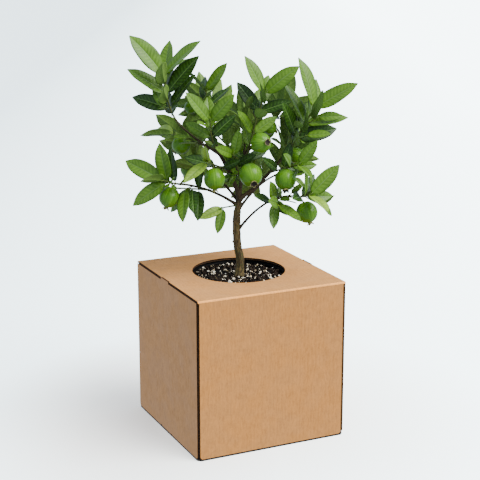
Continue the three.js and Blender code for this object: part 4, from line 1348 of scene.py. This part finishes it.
def grain_tree():
    """Geometry Nodes that scatter lumpy grains over a surface, each turned and sized by chance."""
    tree, given = start_nodes(
        "scattered_grains", Geometry="Geometry", Spacing="Float", Density="Float", Smallest="Float",
        Largest="Float", Flatness="Float", Lumps="Float", Sinking="Float", Seed="Int", Material="Material")
    points = add_node(tree, "GeometryNodeDistributePointsOnFaces", {
        "Mesh": given["Geometry"], "Distance Min": given["Spacing"], "Density Max": given["Density"],
        "Density Factor": 1.0, "Seed": given["Seed"]}, distribute_method="POISSON")
    ball = add_node(tree, "GeometryNodeMeshIcoSphere", {"Radius": 1.0, "Subdivisions": 2})
    wobble = add_node(tree, "ShaderNodeTexNoise", {"Scale": 0.9, "Detail": 1.0}).outputs["Color"]
    moved = add_node(tree, "ShaderNodeVectorMath", {0: wobble, 1: (-0.5, -0.5, -0.5)}, operation="ADD")
    lumps = add_node(tree, "ShaderNodeVectorMath", {0: moved, "Scale": given["Lumps"]}, operation="SCALE")
    grain = add_node(tree, "GeometryNodeSetPosition", {"Geometry": ball, "Offset": lumps})
    sizes = []
    for name in ("Smallest", "Largest"):
        wide = given[name]
        thick = add_node(tree, "ShaderNodeMath", {0: wide, 1: given["Flatness"]}, operation="MULTIPLY")
        sizes.append(add_node(tree, "ShaderNodeCombineXYZ", {0: wide, 1: wide, 2: thick}))
    size = add_node(tree, "FunctionNodeRandomValue", {
        "Min": sizes[0], "Max": sizes[1], "Seed": given["Seed"]}, data_type="FLOAT_VECTOR")
    turn = add_node(tree, "FunctionNodeRandomValue", {"Max": (math.tau,) * 3}, data_type="FLOAT_VECTOR")
    set_on = add_node(tree, "GeometryNodeInstanceOnPoints", {
        "Points": points, "Instance": grain, "Rotation": turn, "Scale": size})
    down = add_node(tree, "ShaderNodeCombineXYZ", {2: given["Sinking"]})
    sunk = add_node(tree, "GeometryNodeTranslateInstances", {
        "Instances": set_on, "Translation": down, "Local Space": False})
    return finish_nodes(tree, sunk, given["Material"])


def fluting_tree():
    """Geometry Nodes that make a sheet of fluting paper, waved across and cut to a board's outline."""
    tree, given = start_nodes(
        "fluting_sheet", Width="Float", Length="Float", Pitch="Float", Wave="Float", Middle="Vector",
        Paper="Float", Outline="Object", Material="Material")
    waves = add_node(tree, "ShaderNodeMath", {0: given["Width"], 1: given["Pitch"]}, operation="DIVIDE")
    steps = add_node(tree, "ShaderNodeMath", {0: waves, 1: 10.0, 2: 1.0}, operation="MULTIPLY_ADD")
    grid = add_node(tree, "GeometryNodeMeshGrid", {
        "Size X": given["Width"], "Size Y": given["Length"], "Vertices X": steps, "Vertices Y": 2})
    place = add_node(tree, "GeometryNodeInputPosition")
    across = add_node(tree, "ShaderNodeSeparateXYZ", {0: place})
    share = add_node(tree, "ShaderNodeMath", {0: across, 1: given["Pitch"]}, operation="DIVIDE")
    angle = add_node(tree, "ShaderNodeMath", {0: share, 1: math.tau}, operation="MULTIPLY")
    sine = add_node(tree, "ShaderNodeMath", {0: angle}, operation="SINE")
    lift = add_node(tree, "ShaderNodeMath", {0: sine, 1: given["Wave"]}, operation="MULTIPLY")
    offset = add_node(tree, "ShaderNodeCombineXYZ", {2: lift})
    moved = add_node(tree, "ShaderNodeVectorMath", {0: offset, 1: given["Middle"]}, operation="ADD")
    waved = add_node(tree, "GeometryNodeSetPosition", {"Geometry": grid, "Offset": moved})
    upward = add_node(tree, "ShaderNodeCombineXYZ", {2: given["Paper"]})
    thick = add_node(tree, "GeometryNodeExtrudeMesh", {
        "Mesh": waved, "Offset": upward, "Offset Scale": 1.0, "Individual": False})
    back = add_node(tree, "GeometryNodeFlipFaces", {"Mesh": waved})
    both = add_node(tree, "GeometryNodeJoinGeometry", {0: [thick, back]})
    shut = add_node(tree, "GeometryNodeMergeByDistance", {"Geometry": both, "Distance": WELD})
    outline = add_node(tree, "GeometryNodeObjectInfo", {"Object": given["Outline"]}).outputs["Geometry"]
    cut = add_node(tree, "GeometryNodeMeshBoolean", {"Mesh 2": [shut, outline]}, operation="INTERSECT",
                   solver="EXACT")
    return finish_nodes(tree, cut, given["Material"])


def made_by(tree, source, values):
    """The plain mesh that a node tree makes on an object, its modifier taken away again."""
    modifier = source.modifiers.new("nodes", "NODES")
    modifier.node_group = tree
    for item in tree.interface.items_tree:
        if item.in_out == "INPUT" and item.name in values:
            modifier[item.identifier] = values[item.name]
    graph = bpy.context.evaluated_depsgraph_get()
    graph.update()
    mesh = bpy.data.meshes.new_from_object(source.evaluated_get(graph), depsgraph=graph)
    source.modifiers.remove(modifier)
    return mesh


def plate(stock, outline, holes, low, high, slots, place):
    """A sheet with an outline and holes, from one depth to another, its cut edges in a second slot."""
    loops = [[(x, y, 0) for x, y in loop] for loop in [outline] + holes]
    corners = tessellate_polygon([[Vector(point) for point in loop] for loop in loops])
    flat = np.array([point for loop in loops for point in loop], float)
    count = len(flat)
    a, b, c = (flat[i] for i in corners[0])
    upright = np.cross(b - a, c - a)[2] > 0
    triangles = [t if upright else t[::-1] for t in corners]
    faces = [tuple(i + count for i in t) for t in triangles] + [t[::-1] for t in triangles]
    sides, start = [], 0
    for number, loop in enumerate(loops):
        points = np.array(loop)[:, :2]
        ahead = np.roll(points, -1, axis=0)
        turn = (points[:, 0] * ahead[:, 1] - ahead[:, 0] * points[:, 1]).sum() > 0
        outward = turn if number == 0 else not turn
        for i in range(len(loop)):
            p, q = start + i, start + (i + 1) % len(loop)
            sides.append((p, q, q + count, p + count) if outward else (q, p, p + count, q + count))
        start += len(loop)
    heights = np.repeat([low, high], count)[:, None]
    points = np.hstack([np.vstack([flat[:, :2], flat[:, :2]]), heights])
    stock.add(place(points), faces + sides, [slots[0]] * len(faces) + [slots[1]] * len(sides))


def circle(middle, radius):
    angles = angles_of(HOLE_SIDES)
    return [(middle[0] + radius * math.cos(a), middle[1] + radius * math.sin(a)) for a in angles]


def box_from(corner, across, up):
    """Places points of a board's own plane, in millimetres, in the row frame: across, up and outwards."""
    corner, across, up = (np.array(v, float) for v in (corner, across, up))
    axes = np.array([across, up, np.cross(across, up)])
    return lambda points: corner * MM + np.asarray(points) @ axes * MM


def corners_cut(outline, radius):
    """An outline whose two lowest corners are rounded, as a crushed cut corner is."""
    points = []
    lowest = min(y for _, y in outline)
    for i, corner in enumerate(outline):
        if corner[1] == lowest:
            points += rounded(corner, outline[i - 1], outline[(i + 1) % len(outline)], radius)
        else:
            points.append(corner)
    return points


def board(node, outline, place, settings, materials, hole=None, extra=None, shrink=FLUTING_SHRINK):
    """A corrugated board: two liners with a sheet of fluting between, which shows at the cut edges."""
    name = node.split("_")[-1] + "_board"
    liner = settings.liner / MM
    stock = Stock()
    holes = [circle(HOLE_CENTRE, hole)] if hole else []
    plate(stock, outline, holes, BOARD - liner, BOARD, (0, 2), place)
    plate(stock, outline, holes, 0, liner, (1, 2), place)
    if extra:
        extra(stock)
    piece = stock.piece(name, materials, as_is, smooth=False)
    cutter = Stock()
    inset = [(x * (1 - shrink), y) for x, y in outline]
    wider = [circle(HOLE_CENTRE, hole * (1 + FLUTING_SHRINK))] if hole else []
    plate(cutter, inset, wider, FLUTING_CLEARANCE, BOARD - FLUTING_CLEARANCE, (0, 0),
          box_from((0, 0, 0), (1, 0, 0), (0, 1, 0)))
    cutting = cutter.piece(name + "_cutter", [], as_is, smooth=False)
    carrier = show(bpy.data.meshes.new("carrier"), name + "_carrier")
    x, y = np.array(outline).T
    mesh = made_by(fluting_tree(), carrier, {
        "Width": (x.max() - x.min() + 2) * MM, "Length": (y.max() - y.min() + 2) * MM,
        "Pitch": settings.flute_pitch, "Wave": (BOARD - 2 * liner - FLUTING_PAPER) / 2 * MM,
        "Middle": ((x.max() + x.min()) / 2 * MM, (y.max() + y.min()) / 2 * MM,
                   (BOARD - FLUTING_PAPER) / 2 * MM),
        "Paper": FLUTING_PAPER * MM, "Outline": cutting, "Material": materials[1]})
    points = np.zeros(len(mesh.vertices) * 3, np.float32)
    mesh.vertices.foreach_get("co", points)
    mesh.vertices.foreach_set("co", place(points.reshape(-1, 3) / MM).astype(np.float32).ravel())
    fluting = show(mesh, name + "_fluting")
    for helper in (cutting, carrier):
        bpy.data.objects.remove(helper)
    dress(piece, "kraft_board", node)
    dress(fluting, "kraft_board")


def stepped_outline(half_length, half_width, tab_width, depth):
    """A rectangle whose two long ends carry a step in or out at the tab's place."""
    low, high = TAB_PLACE - tab_width / 2, TAB_PLACE + tab_width / 2
    right = [(half_length, -half_width), (half_length, low), (half_length + depth, low),
             (half_length + depth, high), (half_length, high), (half_length, half_width)]
    return right + [(-x, y) for x, y in reversed(right)]


def fold_strip(stock, side, half_length, top, depth, settings, slot):
    """The liner's rounded fold from the lid down over the front or the back."""
    radius, liner = settings.fold_radius / MM, settings.liner / MM
    y, z = depth - radius, top - radius
    angles = np.linspace(0, math.pi / 2, FOLD_STEPS)
    outer = [(y + radius * math.cos(a), z + radius * math.sin(a)) for a in angles]
    inner = [(y + (radius - liner) * math.cos(a), z + (radius - liner) * math.sin(a)) for a in angles]
    loop = [(depth, top - BOARD)] + outer + inner[::-1] + [(depth - liner, top - BOARD)]
    count = len(loop)
    points = [(x, side * y, z) for x in (-half_length, half_length) for y, z in loop]
    faces = [(i, (i + 1) % count, (i + 1) % count + count, i + count) for i in range(count)]
    for i in range(FOLD_STEPS):
        j = count - 1 - i
        faces.append((i, j, j - 1, i + 1))
        faces.append((i + 1 + count, j - 1 + count, j + count, i + count))
    if side < 0:
        faces = [face[::-1] for face in faces]
    stock.add(np.array(points) * MM, faces, slot)


def colour_field(name, description, hexed):
    return bpy.props.FloatVectorProperty(
        name=name, description=description, default=linear(hexed)[:3], subtype="COLOR", min=0, max=1)


def distance_field(name, description, default):
    return bpy.props.FloatProperty(
        name=name, description=description, default=default, subtype="DISTANCE", unit="LENGTH")


def angle_field(name, description, degrees):
    return bpy.props.FloatProperty(
        name=name, description=description, default=math.radians(degrees), subtype="ANGLE", unit="ROTATION")


def share_field(name, description, default, most=1.0):
    return bpy.props.FloatProperty(
        name=name, description=description, default=default, min=0, max=most, subtype="FACTOR")


class CrownSizes(bpy.types.PropertyGroup):
    seed: bpy.props.IntProperty(name="Seed", description="Chance that the crown is grown with", default=4021)
    fullness: share_field("Fullness", "Share of the axils and spurs that put out a side shoot", 0.2)
    leaf_thickness: distance_field("Leaf thickness", "Thickness of a blade beside its midrib", 0.0004)
    vein_spacing: distance_field("Vein spacing", "Distance between the side veins of a large leaf", 0.0058)
    vein_depth: distance_field("Vein depth", "How deep the side veins are sunk", 0.00038)
    upper: colour_field("Upper side", "Colour of a grown leaf's upper side", "#486a10")
    old: colour_field("Old upper side", "Colour of the oldest leaves' upper side", "#203a05")
    young: colour_field("Young leaf", "Colour of a young leaf's upper side", "#769628")
    under: colour_field("Underside", "Colour of a grown leaf's underside", "#5e7d30")


class WoodSizes(bpy.types.PropertyGroup):
    relief: distance_field("Bark relief", "How far the plates of the trunk's bark stand out", 0.00035)
    bark: colour_field("Bark", "Middle colour of the trunk's bark", "#493a1d")


class FruitSizes(bpy.types.PropertyGroup):
    rib_depth: share_field("Ribs", "How far the ribs stand out, as a share of the radius", 0.014, 0.1)
    skin: colour_field("Skin", "Colour of the unripe skin", "#456e08")


class PotSizes(bpy.types.PropertyGroup):
    wall: distance_field("Wall", "Thickness of the pot's wall", 0.0016)
    rim_depth: distance_field("Rim depth", "Height of the band under the rim", 0.009)
    plastic: colour_field("Plastic", "Colour of the pot", "#050404")
    perlite_size: distance_field("Perlite size", "Radius of the largest perlite grains", 0.0037)


class BoxSizes(bpy.types.PropertyGroup):
    liner: distance_field("Liner", "Thickness of a kraft liner", 0.0004)
    flute_pitch: distance_field("Flute pitch", "Distance from flute to flute", 0.0064)
    fold_radius: distance_field("Fold radius", "Radius of the lid's folds over the front and back", 0.002)
    kraft: colour_field("Kraft", "Colour of the outer liner", "#a66f36")
    # Painted light: the side boards' kraft is paler and greyer than the front's, for the light on the left
    # face
    kraft_side_painted_light: colour_field("Side kraft", "Colour of the outer liner of the side boards", "#b5804f")
    # Painted light: the lid's kraft is paler and less orange than the front's, for the light on the top
    kraft_lid_painted_light: colour_field("Lid kraft", "Colour of the outer liner of the lid", "#b27b41")
    # Painted shade: the fluting's colour is darkened, for the flutes sit in the liners' shade
    fluting: colour_field("Fluting", "Colour of the fluting paper", "#4a2f18")


class StageSizes(bpy.types.PropertyGroup):
    azimuth: angle_field("Azimuth", "How far round the box the camera stands", -25.028)
    elevation: angle_field("Elevation", "How far the camera looks down", 14.474)
    distance: distance_field("Distance", "From the camera to the plane through the box's middle", 1.9548)
    aim: bpy.props.FloatVectorProperty(
        name="Aim", description="How far across and how high the camera aims", default=(0.002196, 0.29764),
        size=2, subtype="NONE", unit="LENGTH")
    lens: bpy.props.FloatProperty(name="Lens", description="Focal length on a 36 mm sensor", default=94.78)
    floor: colour_field("Floor", "Colour of the floor", "#e4f3f4")
    floor_glow: bpy.props.FloatVectorProperty(
        name="Floor glow", description="Light that the floor adds at its left and its right",
        default=(0.8, 6.2), size=2, min=0)
    sky: bpy.props.FloatProperty(
        name="Room light", description="Brightness of the pale room", default=1.3, min=0)
    key: bpy.props.FloatProperty(
        name="Key light", description="Strength of the large window at the right", default=8.0, min=0)
    key_spread: angle_field("Key spread", "How wide the window looks from the tree", 50)


SETTINGS = {
    "guava_crown": CrownSizes, "guava_wood": WoodSizes, "guava_fruit": FruitSizes,
    "guava_pot": PotSizes, "guava_box": BoxSizes, "guava_stage": StageSizes}
KEPT = {}


def grown_crown(context):
    """The crown is grown once and shared by the pieces that dress it."""
    if "crown" not in KEPT:
        KEPT["crown"] = Crown(context.scene.guava_crown.seed, context.scene.guava_crown.fullness)
    return KEPT["crown"]


def wood_material(context):
    """The bark is made once and shared by the trunk, the boughs and the twigs."""
    if "bark" not in KEPT:
        mid = shaded(context.scene.guava_wood.bark)
        KEPT["bark"] = bark(mid, "#1c140a", "#7b6538", "#434a1c", "#3c2f18", "#4b571c")
    return KEPT["bark"]


class MakeBox(bpy.types.Operator):
    """Makes the six boards of the box, each with two liners and its fluting"""
    bl_idname = "guava.make_box"
    bl_label = "Box"

    def execute(self, context):
        settings = context.scene.guava_box
        pitch = settings.flute_pitch
        flute = fluted_paper("fluting_paper", shaded(settings.fluting))
        # Painted deep shade for the lip that fills the gap under the boards
        shade = fluted_paper("shaded_raw_edge", shaded(settings.fluting, PAINTED_DEEP_SHADE))
        # Cut edges darker than the liner: partly their raw tone, partly painted shade
        edge = kraft_board("kraft_cut_edge", shaded(settings.kraft, CUT_EDGE_TONE_AND_PAINTED_SHADE), pitch, "Z")
        liner = kraft_board("kraft_liner", shaded(settings.kraft), pitch, "X")
        # Painted light: a paler, greyer copy of the kraft for the side boards
        side_liner_painted_light = kraft_board("kraft_liner_side", shaded(settings.kraft_side_painted_light), pitch, "Y")
        # Painted highlight: the kraft made twice as bright on the lid's rounded folds
        fold_highlight = kraft_board("kraft_fold", shaded(settings.kraft, FOLD_PAINTED_HIGHLIGHT), pitch, "X")
        # Painted light: a paler, cooler copy of the kraft for the lid
        lid_liner_painted_light = kraft_board("kraft_liner_lid", shaded(settings.kraft_lid_painted_light), pitch, "X")
        half_length, depth, top = node_box("box_lid", MM)[1]
        (left, _, _), (right, front_inside, wall_top) = node_box("box_front", MM)
        inner = node_box("box_side_left", MM)[1][1]

        def folds(stock):
            for side in (-1, 1):
                fold_strip(stock, side, half_length, top, depth, settings, 3)

        lid = stepped_outline(
            half_length, depth - settings.fold_radius / MM, TOP_TAB_WIDTH + 2 * GAP, inner - half_length)
        board("box_lid", lid, box_from((0, 0, top - BOARD), (1, 0, 0), (0, 1, 0)), settings,
              [lid_liner_painted_light, flute, edge, fold_highlight], HOLE_RADIUS, folds)
        wall = [(left, FOOT_GAP), (right, FOOT_GAP), (right, wall_top), (left, wall_top)]
        for node, sign in (("box_front", 1), ("box_back", -1)):
            plane = box_from((0, sign * front_inside, 0), (sign, 0, 0), (0, 0, 1))
            board(node, corners_cut(wall, CORNER_WEAR), plane, settings, [liner, flute, edge])
        slot, tab, notch = BOTTOM_TAB_WIDTH / 2 + GAP, TOP_TAB_WIDTH / 2, BOARD + GAP
        for node, sign in (("box_side_left", -1), ("box_side_right", 1)):
            place = TAB_PLACE * sign
            side = [
                (-inner, FOOT_GAP), (place - slot, FOOT_GAP), (place - slot, notch),
                (place + slot, notch), (place + slot, FOOT_GAP), (inner, FOOT_GAP), (inner, wall_top),
                (place + tab, wall_top), (place + tab, top), (place - tab, top), (place - tab, wall_top),
                (-inner, wall_top)]
            plane = box_from((sign * (depth - BOARD), 0, 0), (0, sign, 0), (0, 0, 1))
            board(node, corners_cut(side, CORNER_WEAR), plane, settings, [side_liner_painted_light, flute, edge])
        floor = [(x, -y) for x, y in stepped_outline(inner, inner, BOTTOM_TAB_WIDTH, BOARD)][::-1]
        under = box_from((0, 0, BOARD), (1, 0, 0), (0, -1, 0))
        # The lip fills the gap under the front, back and sides as a dark strip of painted shade
        away, reach = depth - CORNER_WEAR, depth - LIP_INSET
        painted_shade_lip = [(away, -reach), (reach, -away), (reach, away), (away, reach)]
        painted_shade_lip += [(-x, -y) for x, y in painted_shade_lip]

        def foot(stock):
            plate(stock, painted_shade_lip, [], LIP_DEPTH, BOARD, (3, 3), under)

        board("box_floor", floor, under, settings, [liner, flute, edge, shade], None, foot, FLOOR_SHRINK)
        return {"FINISHED"}


class MakePot(bpy.types.Operator):
    """Makes the black nursery pot with its rolled rim"""
    bl_idname = "guava.make_pot"
    bl_label = "Nursery pot"

    def execute(self, context):
        settings = context.scene.guava_pot
        low, high = node_box("nursery_pot")
        base, top, rim = low[2], high[2], (high[0] - low[0]) / 2
        wall, band = settings.wall, settings.rim_depth

        def outside(height):
            return (lerp(*POT_RADII, (height - base) / (top - base)), height)

        def inside(height, thicker=0.0):
            return (outside(height)[0] - wall - thicker, height)

        ring = 0.0006
        # From the middle of the foot over its groove, up the wall, round the rim and down inside
        profile = [
            (0, base), (0.03, base), (0.0315, base + 0.0012), (0.05, base + 0.0012), (0.052, base),
            (0.059, base), outside(base + 0.001), outside(top - band), (rim, top - band), (rim, top),
            (rim - 0.0012, top), inside(top), inside(top - 0.004), inside(top - 0.005, ring),
            inside(top - 0.011, ring), inside(top - 0.012), inside(base + POT_FLOOR), (0, base + POT_FLOOR)]
        stock = Stock()
        lathe(stock, softened(profile, SOFT_EDGE), (low + high) / 2, POT_SIDES)
        plastic = pot_plastic(shaded(settings.plastic))
        dress(stock.piece("pot_shell", [plastic], as_is), "pot_plastic", "nursery_pot")
        return {"FINISHED"}


class MakeMix(bpy.types.Operator):
    """Makes the potting mix with its bark crumbs and perlite grains"""
    bl_idname = "guava.make_mix"
    bl_label = "Potting mix"

    def execute(self, context):
        settings = context.scene.guava_pot
        low, high = node_box("potting_mix")
        x, y = sum(node_box("nursery_pot"))[:2] / 2
        base, top, reach = low[2], high[2], (high[0] - low[0]) / 2
        angles = angles_of(POT_SIDES)
        points = []
        for ring in range(1, MIX_RINGS + 1):
            radius = reach * ring / MIX_RINGS
            edge = MIX_EDGE[1] * max(0, (radius - MIX_EDGE[0]) / (reach - MIX_EDGE[0]))
            for a in angles:
                across, away = x + radius * math.cos(a), y + radius * math.sin(a)
                points.append((across, away, mix_height(across, away, top - edge)))
        surface = points + [(x, y, mix_height(x, y, top))]
        points += [(x + MIX_FOOT * math.cos(a), y + MIX_FOOT * math.sin(a), base) for a in angles]
        points += [surface[-1], (x, y, base)]
        stock = Stock()
        stock.add(points, [face[::-1] for face in ring_faces(MIX_RINGS + 1, POT_SIDES)])
        bed = stock.piece("potting_mix_bed", [peat("damp_peat", "#100c09", "#3a2a1e", 0.004)], as_is)
        stock = Stock()
        faces = ring_faces(MIX_RINGS, POT_SIDES)[:-POT_SIDES]
        cap, rings = faces[-POT_SIDES:], faces[:-POT_SIDES]
        stock.add(surface, [(b, a, pole) for a, b, pole in cap] + [(a, d, c, b) for a, b, c, d in rings])
        carrier = stock.piece("mix_surface", [], as_is)
        tree = grain_tree()
        dark = peat("bark_crumbs", "#221913", "#9c8266", 0.003)
        fine = peat("peat_crumbs", "#0d0906", "#2a1d13", 0.002)
        white = perlite("#fff1d6", "#b3965f")
        largest = settings.perlite_size
        labels = ("Material", "Density", "Spacing", "Smallest", "Largest", "Flatness", "Lumps", "Sinking",
                  "Seed")
        for name, *values in (
                ("perlite_grains", white, 6400.0, 0.0038, 0.0007, largest, 0.85, 1.0, 0.0002, 5),
                ("perlite_crumbs", white, 15000.0, 0.003, 0.0004, 0.0011, 0.8, 1.0, 0.0004, 29),
                ("bark_chips", dark, 30000.0, 0.0036, 0.001, 0.0042, 0.5, 1.1, 0.0006, 11),
                ("peat_grains", fine, 200000.0, 0.0022, 0.0005, 0.0016, 0.8, 1.0, 0.0, 23)):
            dress(show(made_by(tree, carrier, dict(zip(labels, values))), name), "potting_mix")
        bpy.data.objects.remove(carrier)
        dress(bed, "potting_mix", "potting_mix")
        return {"FINISHED"}


class MakeTrunk(bpy.types.Operator):
    """Makes the trunk with its bark, root flare, buds and scars"""
    bl_idname = "guava.make_trunk"
    bl_label = "Trunk"

    def execute(self, context):
        trunk = grown_crown(context).limbs["trunk"]
        _, points, radii = along_limb(trunk, TRUNK_RINGS)
        below = np.linspace(TRUNK_DEPTH, 0.6, BURIED_RINGS)
        points = np.vstack([points[0] - UP * below[:, None], points])
        radii = np.append(radii[0] + below * BURIED_WIDENING, radii)
        rise = points[:, 2]
        points[:, 0] += CROOK * bell(rise - CROOK_HEIGHT, CROOK_LENGTH)
        swell, length = TRUNK_SCAR_SIZE
        radii = radii + sum(swell * bell(rise - place, length) for place in TRUNK_SCARS)
        youth = np.clip((rise - 95) / 90, 0, 0.42)
        stock = Stock()
        bark_tube(stock, points, radii, TRUNK_SIDES, youth, context.scene.guava_wood.relief / MM)
        for plan in KNOBS:
            knob(stock, trunk, *plan)
        dress(stock.piece("trunk_bark", [wood_material(context)]), "bark", "trunk")
        return {"FINISHED"}


class MakeBoughs(bpy.types.Operator):
    """Makes the boughs and branches, each swelling into a collar where it leaves its parent"""
    bl_idname = "guava.make_boughs"
    bl_label = "Boughs"

    def execute(self, context):
        crown = grown_crown(context)
        relief = context.scene.guava_wood.relief / MM * BOUGH_RELIEF
        swell, width = SCAR_SIZE
        stock = Stock()
        for number, name in enumerate(LIMBS):
            limb = crown.limbs[name]
            shares, points, radii = along_limb(limb, BOUGH_RINGS)
            length = limb.curve.length()
            reach = shares * length
            radii = radii * (1 + COLLAR_SWELL * np.exp(-np.maximum(reach - 3, 0) / COLLAR_LENGTH))
            for scar in range(1, int(length / SCAR_SPACING)):
                radii = radii + swell * bell(reach - scar * SCAR_SPACING, width)
            youth = np.clip(0.45 + 0.25 * shares * (3 - radii[-1]) / 3, 0, 1)
            bark_tube(stock, points, radii, BOUGH_SIDES, youth, relief, 300 * (number + 1))
        dress(stock.piece("bough_bark", [wood_material(context)]), "bark", *LIMBS)
        return {"FINISHED"}


class MakeTwigs(bpy.types.Operator):
    """Makes the stems, side shoots, fruit stalks and leaf stalks"""
    bl_idname = "guava.make_twigs"
    bl_label = "Twigs"

    def execute(self, context):
        crown = grown_crown(context)
        stock = Stock()
        for mass in crown.masses:
            twig(stock, mass.stem, TWIG_RINGS * 3, (0.66, 1), 0.5)
            for fruit in mass.fruit:
                twig(stock, fruit.stalk, TWIG_RINGS, (0.8, 1), 0.3)
            for leaf in mass.leaves:
                petiole(stock, leaf)
        for shoot, leaves in [pair for mass in crown.masses for pair in mass.shoots] + crown.spurs:
            if shoot:
                twig(stock, shoot, TWIG_RINGS, (0.75, 1), 0.3)
            for leaf in leaves:
                petiole(stock, leaf)
        materials = [wood_material(context), plain_fibre("leaf_stalk", "#64782d", 0.5)]
        dress(stock.piece("twigs", materials), "bark")
        return {"FINISHED"}


class MakeLeaves(bpy.types.Operator):
    """Makes every leaf with its fold, side veins and midrib, in tints dealt out by the leaf's age"""
    bl_idname = "guava.make_leaves"
    bl_label = "Leaves"

    def execute(self, context):
        settings = context.scene.guava_crown
        crown = grown_crown(context)
        materials = [leaf_side(*looks) for looks in (
            ("leaf_upper_grown", shaded(settings.upper), "#779c36", 0.4, 0.1, 0.36),
            ("leaf_upper_old", shaded(settings.old), "#547f2a", 0.38, 0.1, 0.3),
            ("leaf_upper_young", shaded(settings.young), "#a8c456", 0.44, 0.1, 0.4),
            ("leaf_underside", shaded(settings.under), "#85a052", 0.6, 0.0, 0.3),
            ("leaf_underside_young", shaded(settings.under, 1.12), "#8fa84e", 0.58, 0.0, 0.35))]
        materials.append(plain_fibre("leaf_midrib", "#587a2c", 0.5))
        grown, old, young, under, young_under, rib = range(len(materials))
        draw = chance(settings.seed + 5)
        stock, nodes, number = Stock(), [], 1
        groups = [(["leaves_" + mass.name], mass.leaves, mass.shoots) for mass in crown.masses]
        for names, leaves, shoots in groups + [([], [], crown.spurs)]:
            if stock.triangles() > MOST_TRIANGLES:
                dress(stock.piece(f"leaves_{number}", materials), "foliage", *nodes)
                stock, nodes, number = Stock(), [], number + 1
            for leaf in leaves + [leaf for _, few in shoots for leaf in few]:
                age = leaf.age + draw() * AGE_SPREAD
                top = young if age < YOUNG else old if age > OLD else grown
                blade(stock, leaf, settings, top, young_under if top == young else under, rib)
            nodes += names
        dress(stock.piece(f"leaves_{number}", materials), "foliage", *nodes)
        return {"FINISHED"}


class MakeFruit(bpy.types.Operator):
    """Makes the guavas and the dried flower at the end of each"""
    bl_idname = "guava.make_fruit"
    bl_label = "Fruit"

    def execute(self, context):
        settings = context.scene.guava_fruit
        skins, flowers = Stock(), Stock()
        fruits = [fruit for mass in grown_crown(context).masses for fruit in mass.fruit]
        for number, fruit in enumerate(fruits):
            fruit_body(skins, fruit, number, settings)
            calyx(flowers, fruit, number)
        skin = fruit_skin(shaded(settings.skin), "#386008", "#608a18")
        dress(skins.piece("guavas", [skin]), "fruit_skin")
        dried = [plain_fibre("dried_calyx", "#77713a", 0.8), plain_fibre("calyx_mouth", "#20150b", 0.95)]
        dress(flowers.piece("fruit_calyxes", dried), "fruit_skin")
        return {"FINISHED"}


class MakeStage(bpy.types.Operator):
    """Makes the pale floor, the studio light and the camera"""
    bl_idname = "guava.make_stage"
    bl_label = "Stage"

    def execute(self, context):
        settings = context.scene.guava_stage
        a, e = settings.azimuth, settings.elevation
        stock = Stock()
        profile = [(0, 0), (FLOOR_RADIUS, 0), (FLOOR_RADIUS, -FLOOR_DEPTH), (0, -FLOOR_DEPTH)]
        lathe(stock, profile, (0, 0), FLOOR_SIDES)
        stock.faces = [face[::-1] for face in stock.faces]
        paper = matt_floor(settings.floor, settings.floor_glow, a)
        floor = stock.piece("floor", [paper], as_is, smooth=False)
        floor.visible_diffuse = floor.visible_glossy = False
        world = bpy.data.worlds.new("pale_room")
        context.scene.world = world
        world.use_nodes = True
        connect(world.node_tree, world.node_tree.nodes["Background"], {0: linear(SKY), 1: settings.sky})
        light = bpy.data.lights.new("key_window", "SUN")
        light.energy, light.angle = settings.key, settings.key_spread
        lamp = bpy.data.objects.new("key_window", light)
        lamp.rotation_euler = Vector(KEY_WAY).to_track_quat("Z", "Y").to_euler()
        view = bpy.data.cameras.new("photo_view")
        view.lens, view.sensor_width = settings.lens, SENSOR
        camera = bpy.data.objects.new("photo_view", view)
        back = Vector((math.sin(a) * math.cos(e), -math.cos(a) * math.cos(e), math.sin(e)))
        aim = Vector((math.cos(a) * settings.aim[0], math.sin(a) * settings.aim[0], settings.aim[1]))
        camera.location = aim + back * settings.distance
        camera.rotation_euler = back.to_track_quat("Z", "Y").to_euler()
        for thing in (lamp, camera):
            context.scene.collection.objects.link(thing)
        context.scene.camera = camera
        return {"FINISHED"}


OPERATORS = [MakeBox, MakePot, MakeMix, MakeTrunk, MakeBoughs, MakeTwigs, MakeLeaves, MakeFruit, MakeStage]


class GuavaPanel(bpy.types.Panel):
    """Lists the sizes, colours and makers of the tree's pieces"""
    bl_idname = "VIEW3D_PT_guava_tree"
    bl_label = "Guava tree"
    bl_space_type = "VIEW_3D"
    bl_region_type = "UI"
    bl_category = "Guava tree"

    def draw(self, context):
        for key, group in SETTINGS.items():
            for name in group.__annotations__:
                self.layout.prop(getattr(context.scene, key), name)
        for operator in OPERATORS:
            self.layout.operator(operator.bl_idname)


def register():
    for group in SETTINGS.values():
        bpy.utils.register_class(group)
    for key, group in SETTINGS.items():
        setattr(bpy.types.Scene, key, bpy.props.PointerProperty(type=group))
    for shown in OPERATORS + [GuavaPanel]:
        bpy.utils.register_class(shown)


def unregister():
    for shown in reversed(OPERATORS + [GuavaPanel]):
        bpy.utils.unregister_class(shown)
    for key, group in SETTINGS.items():
        delattr(bpy.types.Scene, key)
        bpy.utils.unregister_class(group)


def main():
    register()
    for operator in OPERATORS:
        family, name = operator.bl_idname.split(".")
        getattr(getattr(bpy.ops, family), name)()


if __name__ == "__main__":
    main()
